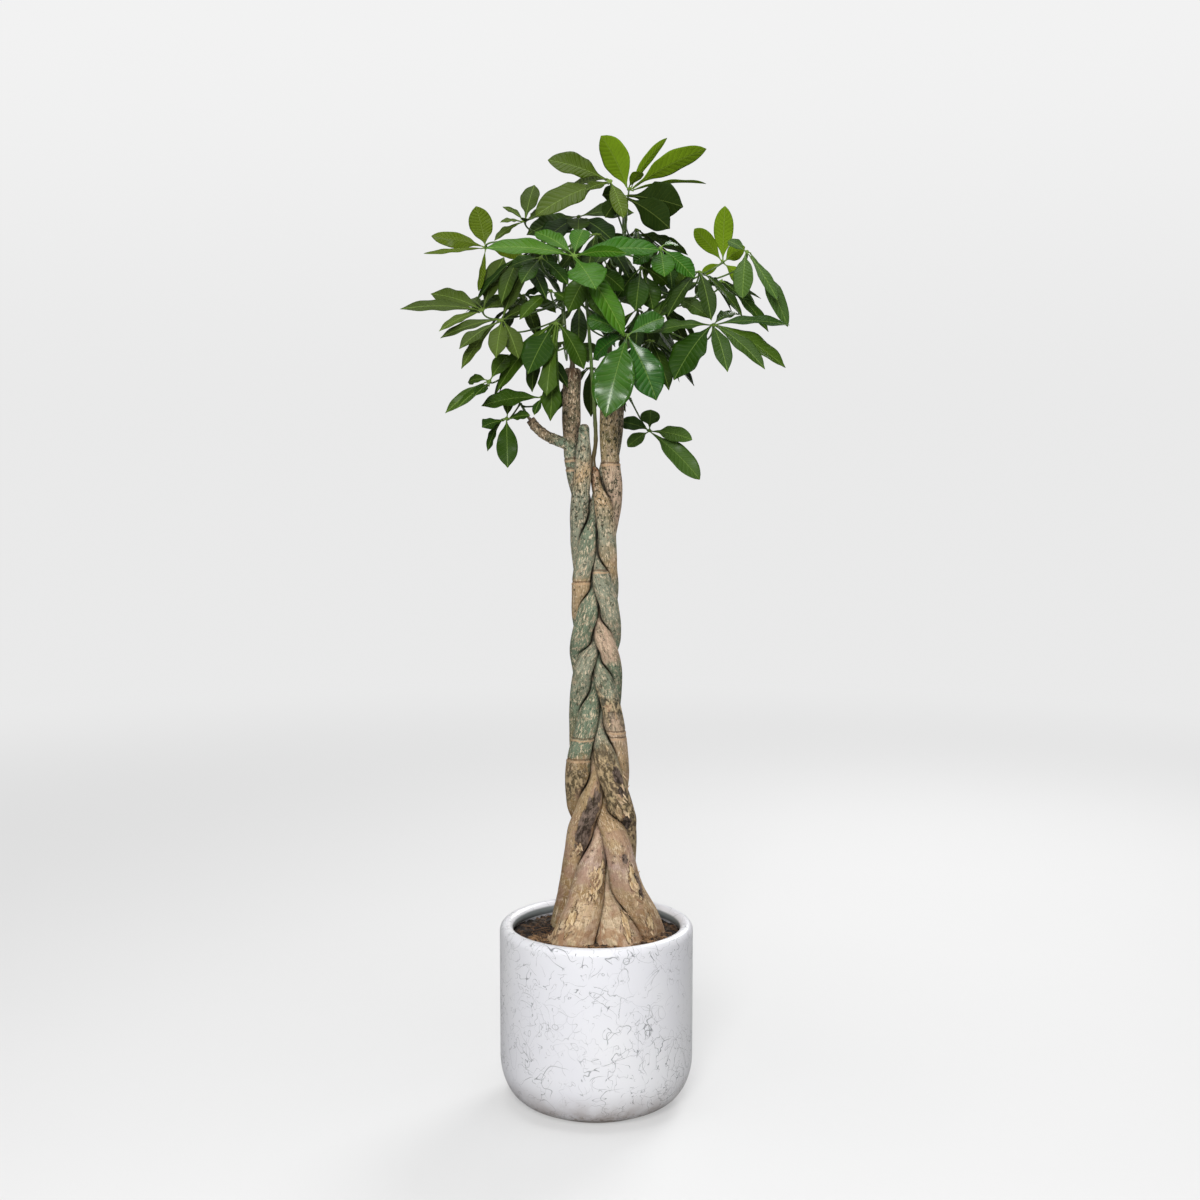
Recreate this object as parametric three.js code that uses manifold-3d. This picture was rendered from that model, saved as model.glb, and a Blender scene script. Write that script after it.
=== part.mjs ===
// A braided money tree in a round white planter, in millimetres with +Z up.
// The origin is the middle of the flat foot under the pot, and -Y is the front of the plant.

import * as THREE from "three";
import { mergeVertices } from "three/addons/utils/BufferGeometryUtils.js";
import Module from "manifold-3d";

const wasm = await Module();
wasm.setup();

// Clearance kept between neighbouring pieces.
const GAP = 0.3;

// Pot: an upright wall, a rounded foot corner and a fat rounded rim that leans in over the wall.
const POT = {
  height: 320, radius: 170, innerRadius: 156, mouthRadius: 146,
  rimDrop: 14, lipDrop: 26, cornerWidth: 50, cornerHeight: 80,
  footRadius: 116, footHeight: 6, floor: 16,
  sides: 32, outerCornerSteps: 5, innerCornerSteps: 4, rimSteps: 3,
};

// Soil: a low mound that fills the pot and rises towards the trunks.
const SOIL = { edge: 292, shoulder: 299, crown: 303, shoulderRadius: 112 };

// Trunks: heights are steps above the root end, so that all five share the same levels.
const LEVEL_STEP = 23.8;
const ROOT_Z = 215;
const TRUNK_SIDES = 8;
const TRUNK_GAP = 1.2;
const BETWEEN_LEVELS = [0, 0.25, 0.5, 0.75];

// How far round the plait the trunks have travelled at each crossing, a tenth of a turn apart.
const TENTH_TURN = Math.PI / 5;
const CROSSINGS = [
  215, 372, 483, 525, 589, 671, 737, 786, 818, 862, 913, 970, 1039, 1097, 1155, 1213, 1272,
];
const FIRST_FULL_TURN = 12;

// Half the width of the plait, its depth beside its width, one trunk's radius and the bundle's lean.
const PLAIT = [
  { z: 215, half: 106, depth: 44, radius: 50, lean: 6 },
  { z: 277, half: 105, depth: 44, radius: 49, lean: 8 },
  { z: 350, half: 88, depth: 42, radius: 37, lean: 12 },
  { z: 395, half: 75, depth: 36, radius: 30.5, lean: 9 },
  { z: 465, half: 65, depth: 31, radius: 25.5, lean: 9 },
  { z: 540, half: 60, depth: 28, radius: 23, lean: 6 },
  { z: 610, half: 57, depth: 26, radius: 21.5, lean: 1 },
  { z: 680, half: 50, depth: 24, radius: 19.5, lean: 1 },
  { z: 800, half: 45, depth: 22, radius: 18.5, lean: -1 },
  { z: 890, half: 43, depth: 22, radius: 18.5, lean: -1 },
  { z: 960, half: 41, depth: 21, radius: 18, lean: -4 },
  { z: 1060, half: 46, depth: 20, radius: 17, lean: -2 },
  { z: 1130, half: 50, depth: 20, radius: 15.5, lean: -5 },
  { z: 1200, half: 53, depth: 20, radius: 15.5, lean: -5 },
  { z: 1300, half: 53, depth: 20, radius: 15.5, lean: -3 },
];

// Each trunk: its start on the plait in fifths of a turn, the steps to its cut top, where in its
// turn it stops winding, its thickness, its narrowing towards the top, and its root's spread.
const TRUNKS = [
  { name: "trunk_1", fifths: 3, steps: 45, stop: 270, thick: 1, taper: 1, spread: [14, -26] },
  { name: "trunk_2", fifths: 4, steps: 41, stop: 335, thick: 0.95, taper: 0.65, spread: [-6, 20] },
  { name: "trunk_3", fifths: 2, steps: 38, stop: 185, thick: 0.95, taper: 0.6, spread: [20, 20] },
  { name: "trunk_4", fifths: 1, steps: 43, stop: 135, thick: 1.03, taper: 1, spread: [16, 44] },
  { name: "trunk_5", fifths: 0, steps: 44, stop: 90, thick: 0.95, taper: 1, spread: [-6, -8] },
];
const TAPER_LENGTH = 75;
const SPREAD_TOP = 430;
const STOP_SOFTNESS = 0.2;

// The cut side branch low on the left trunk, by its trunk's place in the list above.
const BRANCH = {
  trunk: 0,
  path: [[-42, 0, 1156], [-64, -4, 1162], [-86, -8, 1172], [-102, -11, 1185], [-112, -13, 1198]],
  root: 10, tip: 8, steps: 6, sides: 8,
};

// Green shoots: each rises from a cut trunk top, from the branch's end or from a trunk's side, and
// then follows the points along its stem.
const SHOOTS = [
  {
    name: "shoot_1", on: 0, root: 4, tip: 2.4,
    stem: [[-52, 0, 1340], [-56, 5, 1400], [-46, 10, 1470], [-32, 20, 1530]],
  },
  {
    name: "shoot_2", on: 2, root: 3.6, tip: 2.2,
    stem: [[-1, -16, 1160], [-3, -46, 1215], [-8, -70, 1290], [-14, -90, 1370], [-20, -120, 1430]],
  },
  {
    name: "shoot_3", on: 3, root: 4, tip: 2.4,
    stem: [[22, -10, 1300], [30, 0, 1380], [44, 5, 1470], [52, 10, 1560]],
  },
  {
    name: "shoot_4", on: 4, root: 4, tip: 2.4,
    stem: [[46, 20, 1310], [70, 30, 1355], [104, 30, 1400], [150, 20, 1430]],
  },
  { name: "shoot_5", on: "branch", root: 2.6, tip: 1.8, stem: [[-122, -20, 1214], [-128, -28, 1226]] },
  { name: "shoot_6", on: "side", root: 2.6, tip: 1.8, stem: [[46, 40, 1243], [58, 44, 1236]] },
];
const SIDE_SHOOT = { trunk: 4, level: 43 };
const STEM_RISE = 12;
const STEM_SIDES = 6;
const STEM_STEPS_EACH = 2;
const STALK = { radius: 1.6, sides: 4, steps: 4, bend: 0.35 };

// Leaf blades. The blade rows are cross-sections from the root to the tip: how far along, and
// what share of the leaflet's width. A crowded row is held to the room beside its neighbours.
const BLADE = 1;
const HUB_RADIUS = 6;
const HUB_HALF = 1.2;
const ROOT_HALF = 1.6;
const ROOT_SPACING = 0.62;
const SPACING_ROUNDS = 20;
const LEAST_HALF = 2.5;
const FOLD = 0.18;
const ARCH = 0.1;
const ARCH_PLACE = 0.45;
const ROLL_END = 0.3;
const BLADE_ROWS = [
  { t: 0.2, width: 0.38, crowded: true },
  { t: 0.45, width: 0.92 },
  { t: 0.75, width: 0.88 },
];
const SMALL_BLADE = 43;
const SMALL_BLADE_ROWS = [
  { t: 0.25, width: 0.55, crowded: true },
  { t: 0.7, width: 0.95 },
];

// Leaves: the shoot and how far up it each is carried, the hub where its leaflets meet, the way
// its blades face, and for each leaflet its tip from the hub (right, back, up), its width, and a
// roll in degrees if it has one.
const LEAVES = [
  {
    name: "leaf_top_right", shoot: 3, at: 1, hub: [55, 0, 1585], face: [0, 7, 7],
    leaflets: [
      [-47, 10, 90, 50], [130, -10, 65, 42], [65, 20, 88, 18],
      [135, 75, 20, 30, 40], [20, -55, 20, 20],
    ],
  },
  {
    name: "leaf_top_left", shoot: 3, at: 0.85, hub: [24, -45, 1592], face: [0, -8, 6],
    leaflets: [
      [-104, -5, 33, 50], [-122, -72, -66, 50], [-75, 90, -2, 32],
      [-40, -50, -22, 22], [21, -50, -67, 28],
    ],
  },
  {
    name: "leaf_left_crest", shoot: 1, at: 0.95, hub: [-120, -20, 1530], face: [0, -5, 8],
    leaflets: [
      [15, 40, 65, 32], [15, -60, -5, 28], [-40, 50, 30, 14],
      [-40, -20, -5, 16], [-50, -20, -35, 20], [45, 50, 20, 28],
    ],
  },
  {
    name: "leaf_far_left_high", shoot: 1, at: 0.8, hub: [-185, -30, 1485], face: [0, 9, -3],
    leaflets: [
      [-18, 30, 72, 40], [-92, 10, 20, 28], [-102, -20, -12, 18, 40],
      [-10, -30, -75, 16, 40], [60, 30, -10, 24],
    ],
  },
  {
    name: "leaf_front_high", shoot: 2, at: 1, hub: [-35, -190, 1455], face: [0, -8, 7],
    leaflets: [
      [-140, -10, 10, 36], [-65, 70, 45, 32], [15, 80, 50, 34], [82, -78, -5, 18, 50],
      [140, 20, 10, 44], [35, -80, -60, 62], [80, -30, -130, 38],
    ],
  },
  {
    name: "leaf_far_left_low", shoot: 1, at: 0.45, hub: [-190, -50, 1380], face: [0, -7, 6],
    leaflets: [
      [-90, 40, 30, 36], [-135, -20, 0, 26], [-65, -80, -40, 18],
      [35, 30, 90, 38], [-35, 120, 25, 22], [65, 60, 12, 28],
    ],
  },
  {
    name: "leaf_left_low", shoot: 1, at: 0.35, hub: [-155, -100, 1360], face: [0, -6, 8],
    leaflets: [
      [-100, -10, -30, 26], [-65, -60, -50, 28], [-65, -20, -80, 24], [-5, -80, -65, 32],
      [30, -50, -65, 32], [35, 40, 85, 30], [55, 50, 25, 28],
    ],
  },
  {
    name: "leaf_left_drooping", shoot: 1, at: 0.3, hub: [-175, -110, 1260], face: [0, -8, 2],
    leaflets: [
      [30, 30, 45, 28], [-72, -10, -52, 18], [-50, -50, -45, 14],
      [-20, -60, -25, 18], [-40, 60, 0, 18],
    ],
  },
  {
    name: "leaf_centre_hanging", shoot: 1, at: 0.3, hub: [-65, -110, 1355], face: [0, -8, 5],
    leaflets: [
      [-45, -50, -85, 50], [-15, -45, -120, 54], [-10, -10, -160, 44],
      [-100, 40, -110, 30], [45, 10, -75, 32],
    ],
  },
  {
    name: "leaf_stub_low", shoot: 5, at: 1, hub: [-150, -60, 1200], face: [0, -7, 6],
    leaflets: [
      [-40, -20, -15, 34], [5, 10, 40, 18], [3, -30, -82, 36],
      [-35, 40, -55, 18], [40, -10, 5, 20],
    ],
  },
  {
    name: "leaf_stub_high", shoot: 5, at: 0.8, hub: [-90, -80, 1235], face: [0, -6, 7],
    leaflets: [[-100, -10, -15, 42], [-12, -25, -30, 14], [20, 50, 35, 22]],
  },
  {
    name: "leaf_right_low", shoot: 6, at: 1, hub: [92, 30, 1180], face: [0, -8, 4],
    leaflets: [
      [2, 5, 36, 34], [72, -35, -16, 30], [86, -25, -84, 38],
      [-38, -20, -28, 24], [-50, 25, 15, 28],
    ],
  },
  {
    name: "leaf_front_glossy", shoot: 2, at: 0.8, hub: [50, -190, 1330], face: [0, -9, 4],
    leaflets: [
      [-35, -40, -130, 66], [46, -10, -103, 54], [60, 30, 30, 38],
      [-65, 40, 30, 40], [-55, 80, -35, 34],
    ],
  },
  {
    name: "leaf_right_high", shoot: 4, at: 1, hub: [215, 10, 1465], face: [0, 9, 2],
    leaflets: [
      [4, 10, 95, 34], [-50, -30, 52, 28], [40, 25, 28, 28],
      [35, -25, -40, 24], [-35, 15, -20, 16],
    ],
  },
  {
    name: "leaf_far_right", shoot: 4, at: 0.95, hub: [250, -60, 1475], face: [-2, -6, 6],
    leaflets: [[-10, -40, -80, 34], [68, -10, -124, 28], [45, -60, -84, 20], [-30, 20, 20, 20]],
  },
  {
    name: "leaf_right_inner", shoot: 4, at: 0.55, hub: [130, -10, 1405], face: [0, -6, 6],
    leaflets: [
      [-5, 20, 50, 28], [60, -50, -40, 34], [-40, 30, 15, 28], [-30, -50, -40, 28], [35, 0, 55, 26],
    ],
  },
  {
    name: "leaf_right_arching", shoot: 4, at: 0.8, hub: [210, -20, 1430], face: [0, -5, 8],
    leaflets: [[80, -10, -85, 28], [-35, -50, 5, 22], [15, 70, -25, 24], [-35, 20, -30, 26]],
  },
  {
    name: "leaf_right_front", shoot: 4, at: 0.6, hub: [190, -140, 1350], face: [0, -5, 8],
    leaflets: [
      [125, 15, 0, 32], [115, -20, -70, 42], [75, -90, -75, 30], [-65, -30, -90, 58],
      [15, -110, -80, 30], [-105, -10, -15, 36], [50, 100, 25, 28],
    ],
  },
  {
    name: "leaf_right_shoulder", shoot: 3, at: 0.75, hub: [105, -110, 1475], face: [0, -8, 5],
    leaflets: [[5, -40, -50, 40], [55, -15, -50, 32], [35, 70, 10, 16], [-45, 0, -25, 30]],
  },
  {
    name: "leaf_under_top", shoot: 3, at: 0.75, hub: [45, -28, 1570], face: [0, 9, 4],
    leaflets: [[99, -30, -22, 60], [77, -35, -58, 50], [-35, 20, 4, 30], [-30, -20, -38, 30]],
  },
  {
    name: "leaf_dark_upper", shoot: 1, at: 0.9, hub: [-30, 40, 1545], face: [0, -7, 6],
    leaflets: [
      [-90, 10, -30, 44], [-62, -72, -55, 44], [60, -60, -50, 42],
      [95, 30, 10, 38], [0, -80, -35, 40],
    ],
  },
  {
    name: "leaf_inner_right", shoot: 3, at: 0.45, hub: [75, -50, 1450], face: [0, -9, 3],
    leaflets: [[-10, -40, -75, 38], [20, 0, -70, 38], [-40, 0, -50, 32], [45, 30, -25, 30]],
  },
  {
    name: "leaf_inner_left", shoot: 2, at: 0.9, hub: [-5, -150, 1440], face: [0, -9, 3],
    leaflets: [[20, -40, -85, 44], [-40, 10, -70, 38], [25, 50, 30, 26], [50, 20, -35, 30]],
  },
  {
    name: "leaf_left_inner", shoot: 1, at: 0.6, hub: [-90, -110, 1460], face: [0, -7, 6],
    leaflets: [[-30, -40, -45, 30], [-50, 0, -15, 24], [45, -10, -45, 24], [25, 50, 25, 24]],
  },
  {
    name: "leaf_left_centre", shoot: 1, at: 0.4, hub: [-75, -70, 1410], face: [0, -6, 7],
    leaflets: [[-50, -40, -50, 26], [-45, 20, -5, 24], [30, -25, -20, 24], [-60, 30, 50, 26]],
  },
];

// Leaves at the back and inside the crown, which follow a plain fan: the heading is where the
// middle leaflet points.
const FAR_LEAVES = [
  { name: "leaf_back_1", shoot: 1, at: 0.75, hub: [-70, 190, 1500], heading: 110, fan: "spread" },
  { name: "leaf_back_2", shoot: 1, at: 0.5, hub: [-130, 140, 1420], heading: 150, fan: "spread" },
  { name: "leaf_back_3", shoot: 3, at: 0.8, hub: [70, 170, 1530], heading: 75, fan: "spread" },
  { name: "leaf_back_4", shoot: 3, at: 0.5, hub: [10, 240, 1440], heading: 95, fan: "spread" },
  { name: "leaf_back_5", shoot: 4, at: 0.7, hub: [190, 160, 1445], heading: 35, fan: "spread" },
  { name: "leaf_back_6", shoot: 4, at: 0.4, hub: [90, 220, 1360], heading: 65, fan: "spread" },
  { name: "leaf_back_7", shoot: 1, at: 0.2, hub: [-60, 200, 1340], heading: 115, fan: "spread" },
  { name: "leaf_inside_1", shoot: 3, at: 0.3, hub: [-30, 90, 1400], heading: -90, fan: "hanging" },
  { name: "leaf_inside_2", shoot: 4, at: 0.5, hub: [110, 90, 1400], heading: 100, fan: "hanging" },
  { name: "leaf_inside_3", shoot: 3, at: 0.7, hub: [25, 110, 1490], heading: 90, fan: "hanging" },
  { name: "leaf_inside_4", shoot: 3, at: 0.15, hub: [-10, 100, 1290], heading: 90, fan: "hanging" },
  { name: "leaf_inside_5", shoot: 1, at: 0.85, hub: [-95, 60, 1500], heading: 180, fan: "hanging" },
  { name: "leaf_inside_6", shoot: 1, at: 0.5, hub: [-125, 65, 1410], heading: 180, fan: "hanging" },
  { name: "leaf_inside_7", shoot: 3, at: 0.9, hub: [70, 100, 1530], heading: 20, fan: "hanging" },
  { name: "leaf_inside_8", shoot: 3, at: 0.6, hub: [0, -45, 1505], heading: -100, fan: "hanging" },
  { name: "leaf_inside_9", shoot: 4, at: 0.25, hub: [90, -40, 1330], heading: -70, fan: "hanging" },
  { name: "leaf_inside_10", shoot: 1, at: 0.7, hub: [-125, -40, 1470], heading: -110, fan: "hanging" },
  { name: "leaf_inside_11", shoot: 3, at: 0.3, hub: [70, -40, 1380], heading: -40, fan: "hanging" },
  { name: "leaf_inside_12", shoot: 4, at: 0.9, hub: [170, -80, 1440], heading: -80, fan: "hanging" },
  { name: "leaf_inside_13", shoot: 1, at: 0.15, hub: [-100, 10, 1320], heading: -150, fan: "hanging" },
];
const FANS = {
  spread: { angles: [-100, -50, 0, 50, 100], length: 125, shorter: 0.3, width: 0.34, droop: 0.3 },
  hanging: { angles: [-110, -55, 0, 55, 110], length: 85, shorter: 0.2, width: 0.34, droop: 1 },
};
const FAN_UPRIGHT = 3;

const FINISHES = {
  pot: { colour: 0xf0eff0, roughness: 0.35 },
  soil: { colour: 0x3a2a1e, roughness: 0.95 },
  bark: { colour: 0x8d8262, roughness: 0.85 },
  shoot: { colour: 0x4d7a2a, roughness: 0.6 },
  leaf: { colour: 0x2f6a1c, roughness: 0.4 },
};

function vector(values) {
  return new THREE.Vector3(...values);
}

function radians(degrees) {
  return (degrees * Math.PI) / 180;
}

// A smooth curve of one field through the rows of a table that is sorted by z.
function smoothTable(rows, field, z) {
  const last = rows.length - 1;
  if (z <= rows[0].z) return rows[0][field];
  if (z >= rows[last].z) return rows[last][field];
  let i = 0;
  while (rows[i + 1].z < z) i += 1;
  const slope = (a, b) => (rows[b][field] - rows[a][field]) / (rows[b].z - rows[a].z);
  const here = slope(i, i + 1);
  const before = i > 0 ? slope(i - 1, i + 1) : here;
  const after = i + 1 < last ? slope(i, i + 2) : here;
  const width = rows[i + 1].z - rows[i].z;
  const t = (z - rows[i].z) / width;
  const start = rows[i][field] * (1 + 2 * t) * (1 - t) ** 2 + before * width * t * (1 - t) ** 2;
  const end = rows[i + 1][field] * t * t * (3 - 2 * t) - after * width * t * t * (1 - t);
  return start + end;
}

const TURNS = CROSSINGS.map((z, i) => ({ z, turn: (i - FIRST_FULL_TURN) * TENTH_TURN }));

function plait(field, z) {
  return smoothTable(PLAIT, field, z);
}

function fade(from, to, z) {
  const t = Math.min(1, Math.max(0, (z - from) / (to - from)));
  return t * t * (3 - 2 * t);
}

// Where a trunk is in its turn at a height, eased to a stop near its top.
function turnOf(trunk, z) {
  const free = smoothTable(TURNS, "turn", z) + 2 * trunk.fifths * TENTH_TURN;
  const stop = radians(trunk.stop);
  const s = STOP_SOFTNESS;
  return -s * Math.log(Math.exp((stop - free) / s) + 1) + stop;
}

function topOf(trunk) {
  return ROOT_Z + trunk.steps * LEVEL_STEP;
}

function radiusOf(trunk, z) {
  const narrowing = 1 - (1 - trunk.taper) * fade(topOf(trunk) - TAPER_LENGTH, topOf(trunk), z);
  return plait("radius", z) * trunk.thick * narrowing;
}

// The five trunks run along a figure of eight, seen from above: in front on the way in to the
// middle, and behind on the way out.
function centreOf(trunk, z) {
  const turn = turnOf(trunk, z);
  const reach = plait("half", z) - plait("radius", z);
  const rooted = 1 - fade(ROOT_Z, SPREAD_TOP, z);
  return new THREE.Vector2(
    plait("lean", z) + reach * Math.sin(turn) + rooted * trunk.spread[0],
    plait("depth", z) * Math.sin(2 * turn) + rooted * trunk.spread[1],
  );
}

// How far a trunk's surface lies from its centre in one direction, pressed flat where it meets
// the others. `grow` makes it that much fatter, for the hole that it stands in.
function reachAt(trunk, level, direction, grow) {
  const z = ROOT_Z + level * LEVEL_STEP;
  const centre = centreOf(trunk, z);
  const radius = radiusOf(trunk, z);
  let reach = radius + grow;
  for (const other of TRUNKS) {
    if (other === trunk || level > other.steps) continue;
    const otherRadius = radiusOf(other, z);
    const otherCentre = centreOf(other, z);
    for (const nextZ of [z - LEVEL_STEP, z + LEVEL_STEP]) {
      for (const t of BETWEEN_LEVELS) {
        const mine = centre.clone().lerp(centreOf(trunk, nextZ), t);
        const between = otherCentre.clone().lerp(centreOf(other, nextZ), t).sub(mine);
        const apart = between.length();
        const share = (apart * apart + radius * radius - otherRadius * otherRadius) / (2 * apart);
        const along = between.dot(direction) / apart;
        const limit = share - TRUNK_GAP / 2 + (grow > 0 ? TRUNK_GAP + grow : 0);
        if (along > 0) reach = Math.min(reach, limit / along);
      }
    }
  }
  return reach;
}

function trunkRing(trunk, level, grow) {
  const z = ROOT_Z + level * LEVEL_STEP;
  const centre = centreOf(trunk, z);
  const ring = [];
  for (let i = 0; i < TRUNK_SIDES; i += 1) {
    const angle = (2 * Math.PI * i) / TRUNK_SIDES;
    const direction = new THREE.Vector2(Math.cos(angle), Math.sin(angle));
    const point = centre.clone().addScaledVector(direction, reachAt(trunk, level, direction, grow));
    ring.push(new THREE.Vector3(point.x, point.y, z));
  }
  return ring;
}

function signedVolume(positions, index) {
  const corner = (i) => new THREE.Vector3().fromArray(positions, 3 * index[i]);
  let volume = 0;
  for (let i = 0; i < index.length; i += 3) {
    volume += corner(i).dot(corner(i + 1).cross(corner(i + 2))) / 6;
  }
  return volume;
}

// A closed mesh with its faces turned outwards.
function closedMesh(points, triangles) {
  const positions = points.flatMap((p) => [p.x, p.y, p.z]);
  const index = triangles.flat();
  if (signedVolume(positions, index) < 0) index.reverse();
  const geometry = new THREE.BufferGeometry();
  geometry.setAttribute("position", new THREE.Float32BufferAttribute(positions, 3));
  geometry.setIndex(index);
  return geometry;
}

// Joins rings of equal count by strips of triangles and closes both ends.
function loft(rings) {
  const count = rings[0].length;
  const triangles = [];
  for (let r = 0; r + 1 < rings.length; r += 1) {
    for (let i = 0; i < count; i += 1) {
      const a = r * count + i;
      const b = r * count + ((i + 1) % count);
      triangles.push([a, b, b + count], [a, b + count, a + count]);
    }
  }
  const lastRing = (rings.length - 1) * count;
  for (let i = 1; i + 1 < count; i += 1) {
    triangles.push([0, i + 1, i], [lastRing, lastRing + i, lastRing + i + 1]);
  }
  return closedMesh(rings.flat(), triangles);
}

// A round rod along a curve, from one radius to another.
function rod(curve, steps, sides, root, tip) {
  const frames = curve.computeFrenetFrames(steps, false);
  const rings = [];
  for (let r = 0; r <= steps; r += 1) {
    const middle = curve.getPointAt(r / steps);
    const radius = root + ((tip - root) * r) / steps;
    const ring = [];
    for (let i = 0; i < sides; i += 1) {
      const angle = (2 * Math.PI * i) / sides;
      ring.push(
        middle
          .clone()
          .addScaledVector(frames.normals[r], radius * Math.cos(angle))
          .addScaledVector(frames.binormals[r], radius * Math.sin(angle)),
      );
    }
    rings.push(ring);
  }
  return loft(rings);
}

function toSolid(geometry) {
  const bare = new THREE.BufferGeometry();
  bare.setAttribute("position", geometry.getAttribute("position").clone());
  if (geometry.index) bare.setIndex(geometry.index.clone());
  const merged = mergeVertices(bare, 1e-4);
  return new wasm.Manifold(
    new wasm.Mesh({
      numProp: 3,
      vertProperties: new Float32Array(merged.getAttribute("position").array),
      triVerts: new Uint32Array(merged.index.array),
    }),
  );
}

function toGeometry(solid) {
  const mesh = solid.getMesh();
  const geometry = new THREE.BufferGeometry();
  geometry.setAttribute("position", new THREE.BufferAttribute(mesh.vertProperties, 3));
  geometry.setIndex(new THREE.BufferAttribute(mesh.triVerts, 1));
  return geometry;
}

// Quarter-ellipse points from one profile point to another; `outFirst` leaves along the radius.
function quarter(from, to, steps, outFirst) {
  const points = [];
  for (let i = 1; i <= steps; i += 1) {
    const angle = (Math.PI / 2) * (i / steps);
    const slow = 1 - Math.cos(angle);
    const quick = Math.sin(angle);
    points.push([
      from[0] + (to[0] - from[0]) * (outFirst ? quick : slow),
      from[1] + (to[1] - from[1]) * (outFirst ? slow : quick),
    ]);
  }
  return points;
}

// A profile of radius and height pairs, turned round the upright axis.
function turned(profile) {
  const points = profile.map(([radius, height]) => new THREE.Vector2(radius, height));
  const geometry = new THREE.LatheGeometry(points, POT.sides);
  geometry.rotateX(Math.PI / 2);
  return geometry;
}

function potProfile() {
  const outerFoot = [POT.radius - POT.cornerWidth, POT.footHeight];
  const outerWall = [POT.radius, POT.footHeight + POT.cornerHeight];
  const rimOutside = [POT.radius, POT.height - POT.rimDrop];
  const rimTop = [(POT.radius + POT.mouthRadius) / 2, POT.height];
  const rimInside = [POT.mouthRadius, POT.height - POT.rimDrop];
  const innerFoot = [POT.innerRadius - POT.cornerWidth, POT.floor];
  const innerWall = [POT.innerRadius, POT.floor + POT.cornerHeight];
  const innerCorner = quarter(innerFoot, innerWall, POT.innerCornerSteps, true);
  return [
    [0, 0],
    [POT.footRadius, 0],
    [POT.footRadius, POT.footHeight],
    outerFoot,
    ...quarter(outerFoot, outerWall, POT.outerCornerSteps, true),
    rimOutside,
    ...quarter(rimOutside, rimTop, POT.rimSteps, false),
    ...quarter(rimTop, rimInside, POT.rimSteps, true),
    [POT.innerRadius, POT.height - POT.lipDrop],
    ...innerCorner.reverse(),
    innerFoot,
    [0, POT.floor],
  ];
}

function soilProfile() {
  const floor = POT.floor + GAP;
  const wall = POT.innerRadius - GAP;
  const corner = [wall - POT.cornerWidth, floor];
  return [
    [0, floor],
    corner,
    ...quarter(corner, [wall, floor + POT.cornerHeight], POT.innerCornerSteps, true),
    [wall, SOIL.edge],
    [SOIL.shoulderRadius, SOIL.shoulder],
    [0, SOIL.crown],
  ];
}

function trunkGeometry(trunk) {
  const rings = [];
  for (let level = 0; level <= trunk.steps; level += 1) {
    rings.push(trunkRing(trunk, level, 0));
  }
  return loft(rings);
}

// The part of a trunk below the soil, a little fatter and longer than the trunk itself.
function socket(trunk) {
  const rings = [];
  const levels = Math.ceil((SOIL.crown - ROOT_Z) / LEVEL_STEP) + 1;
  for (let level = 0; level <= levels; level += 1) {
    rings.push(trunkRing(trunk, level, GAP));
  }
  rings[0].forEach((point) => {
    point.z -= GAP;
  });
  return loft(rings);
}

function soilGeometry() {
  let soil = toSolid(turned(soilProfile()));
  for (const trunk of TRUNKS) {
    soil = soil.subtract(toSolid(socket(trunk)));
  }
  return toGeometry(soil);
}

function branchedTrunkGeometry(trunk) {
  const curve = new THREE.CatmullRomCurve3(BRANCH.path.map(vector));
  const branch = rod(curve, BRANCH.steps, BRANCH.sides, BRANCH.root, BRANCH.tip);
  return toGeometry(toSolid(trunkGeometry(trunk)).add(toSolid(branch)));
}

// The direction that a leaf's blades face.
function faceOf(leaf) {
  return vector(leaf.face).normalize();
}

// The leaf stalk: it leaves its stem and comes up behind the hub, square to the blades.
function stalkCurve(leaf, stem) {
  const start = stem.getPointAt(leaf.at);
  const face = faceOf(leaf);
  const end = vector(leaf.hub).addScaledVector(face, -(HUB_HALF + GAP));
  const bend = end.clone().addScaledVector(face, -STALK.bend * start.distanceTo(end));
  return new THREE.QuadraticBezierCurve3(start, bend, end);
}

// Where a shoot stands, a hair off what carries it, and the way it sets out.
function shootBase(shoot) {
  if (shoot.on === "branch") {
    const [before, end] = BRANCH.path.slice(-2).map(vector);
    const way = end.clone().sub(before).normalize();
    return { start: end.addScaledVector(way, GAP), way };
  }
  if (shoot.on === "side") {
    const trunk = TRUNKS[SIDE_SHOOT.trunk];
    const z = ROOT_Z + SIDE_SHOOT.level * LEVEL_STEP;
    const back = new THREE.Vector2(0, 1);
    const reach = reachAt(trunk, SIDE_SHOOT.level, back, 0);
    const skin = centreOf(trunk, z).addScaledVector(back, reach + GAP);
    return { start: new THREE.Vector3(skin.x, skin.y, z), way: new THREE.Vector3(0, 1, 0) };
  }
  const top = topOf(TRUNKS[shoot.on]);
  const centre = centreOf(TRUNKS[shoot.on], top);
  return { start: new THREE.Vector3(centre.x, centre.y, top + GAP), way: new THREE.Vector3(0, 0, 1) };
}

function stemCurve(shoot) {
  const { start, way } = shootBase(shoot);
  const rise = start.clone().addScaledVector(way, STEM_RISE);
  return new THREE.CatmullRomCurve3([start, rise, ...shoot.stem.map(vector)]);
}

function shootGeometry(shoot, number) {
  const stem = stemCurve(shoot);
  let solid = toSolid(rod(stem, STEM_STEPS_EACH * shoot.stem.length, STEM_SIDES, shoot.root, shoot.tip));
  for (const leaf of ALL_LEAVES) {
    if (leaf.shoot !== number) continue;
    const stalk = rod(stalkCurve(leaf, stem), STALK.steps, STALK.sides, STALK.radius, STALK.radius);
    solid = solid.add(toSolid(stalk));
  }
  return toGeometry(solid);
}

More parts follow.
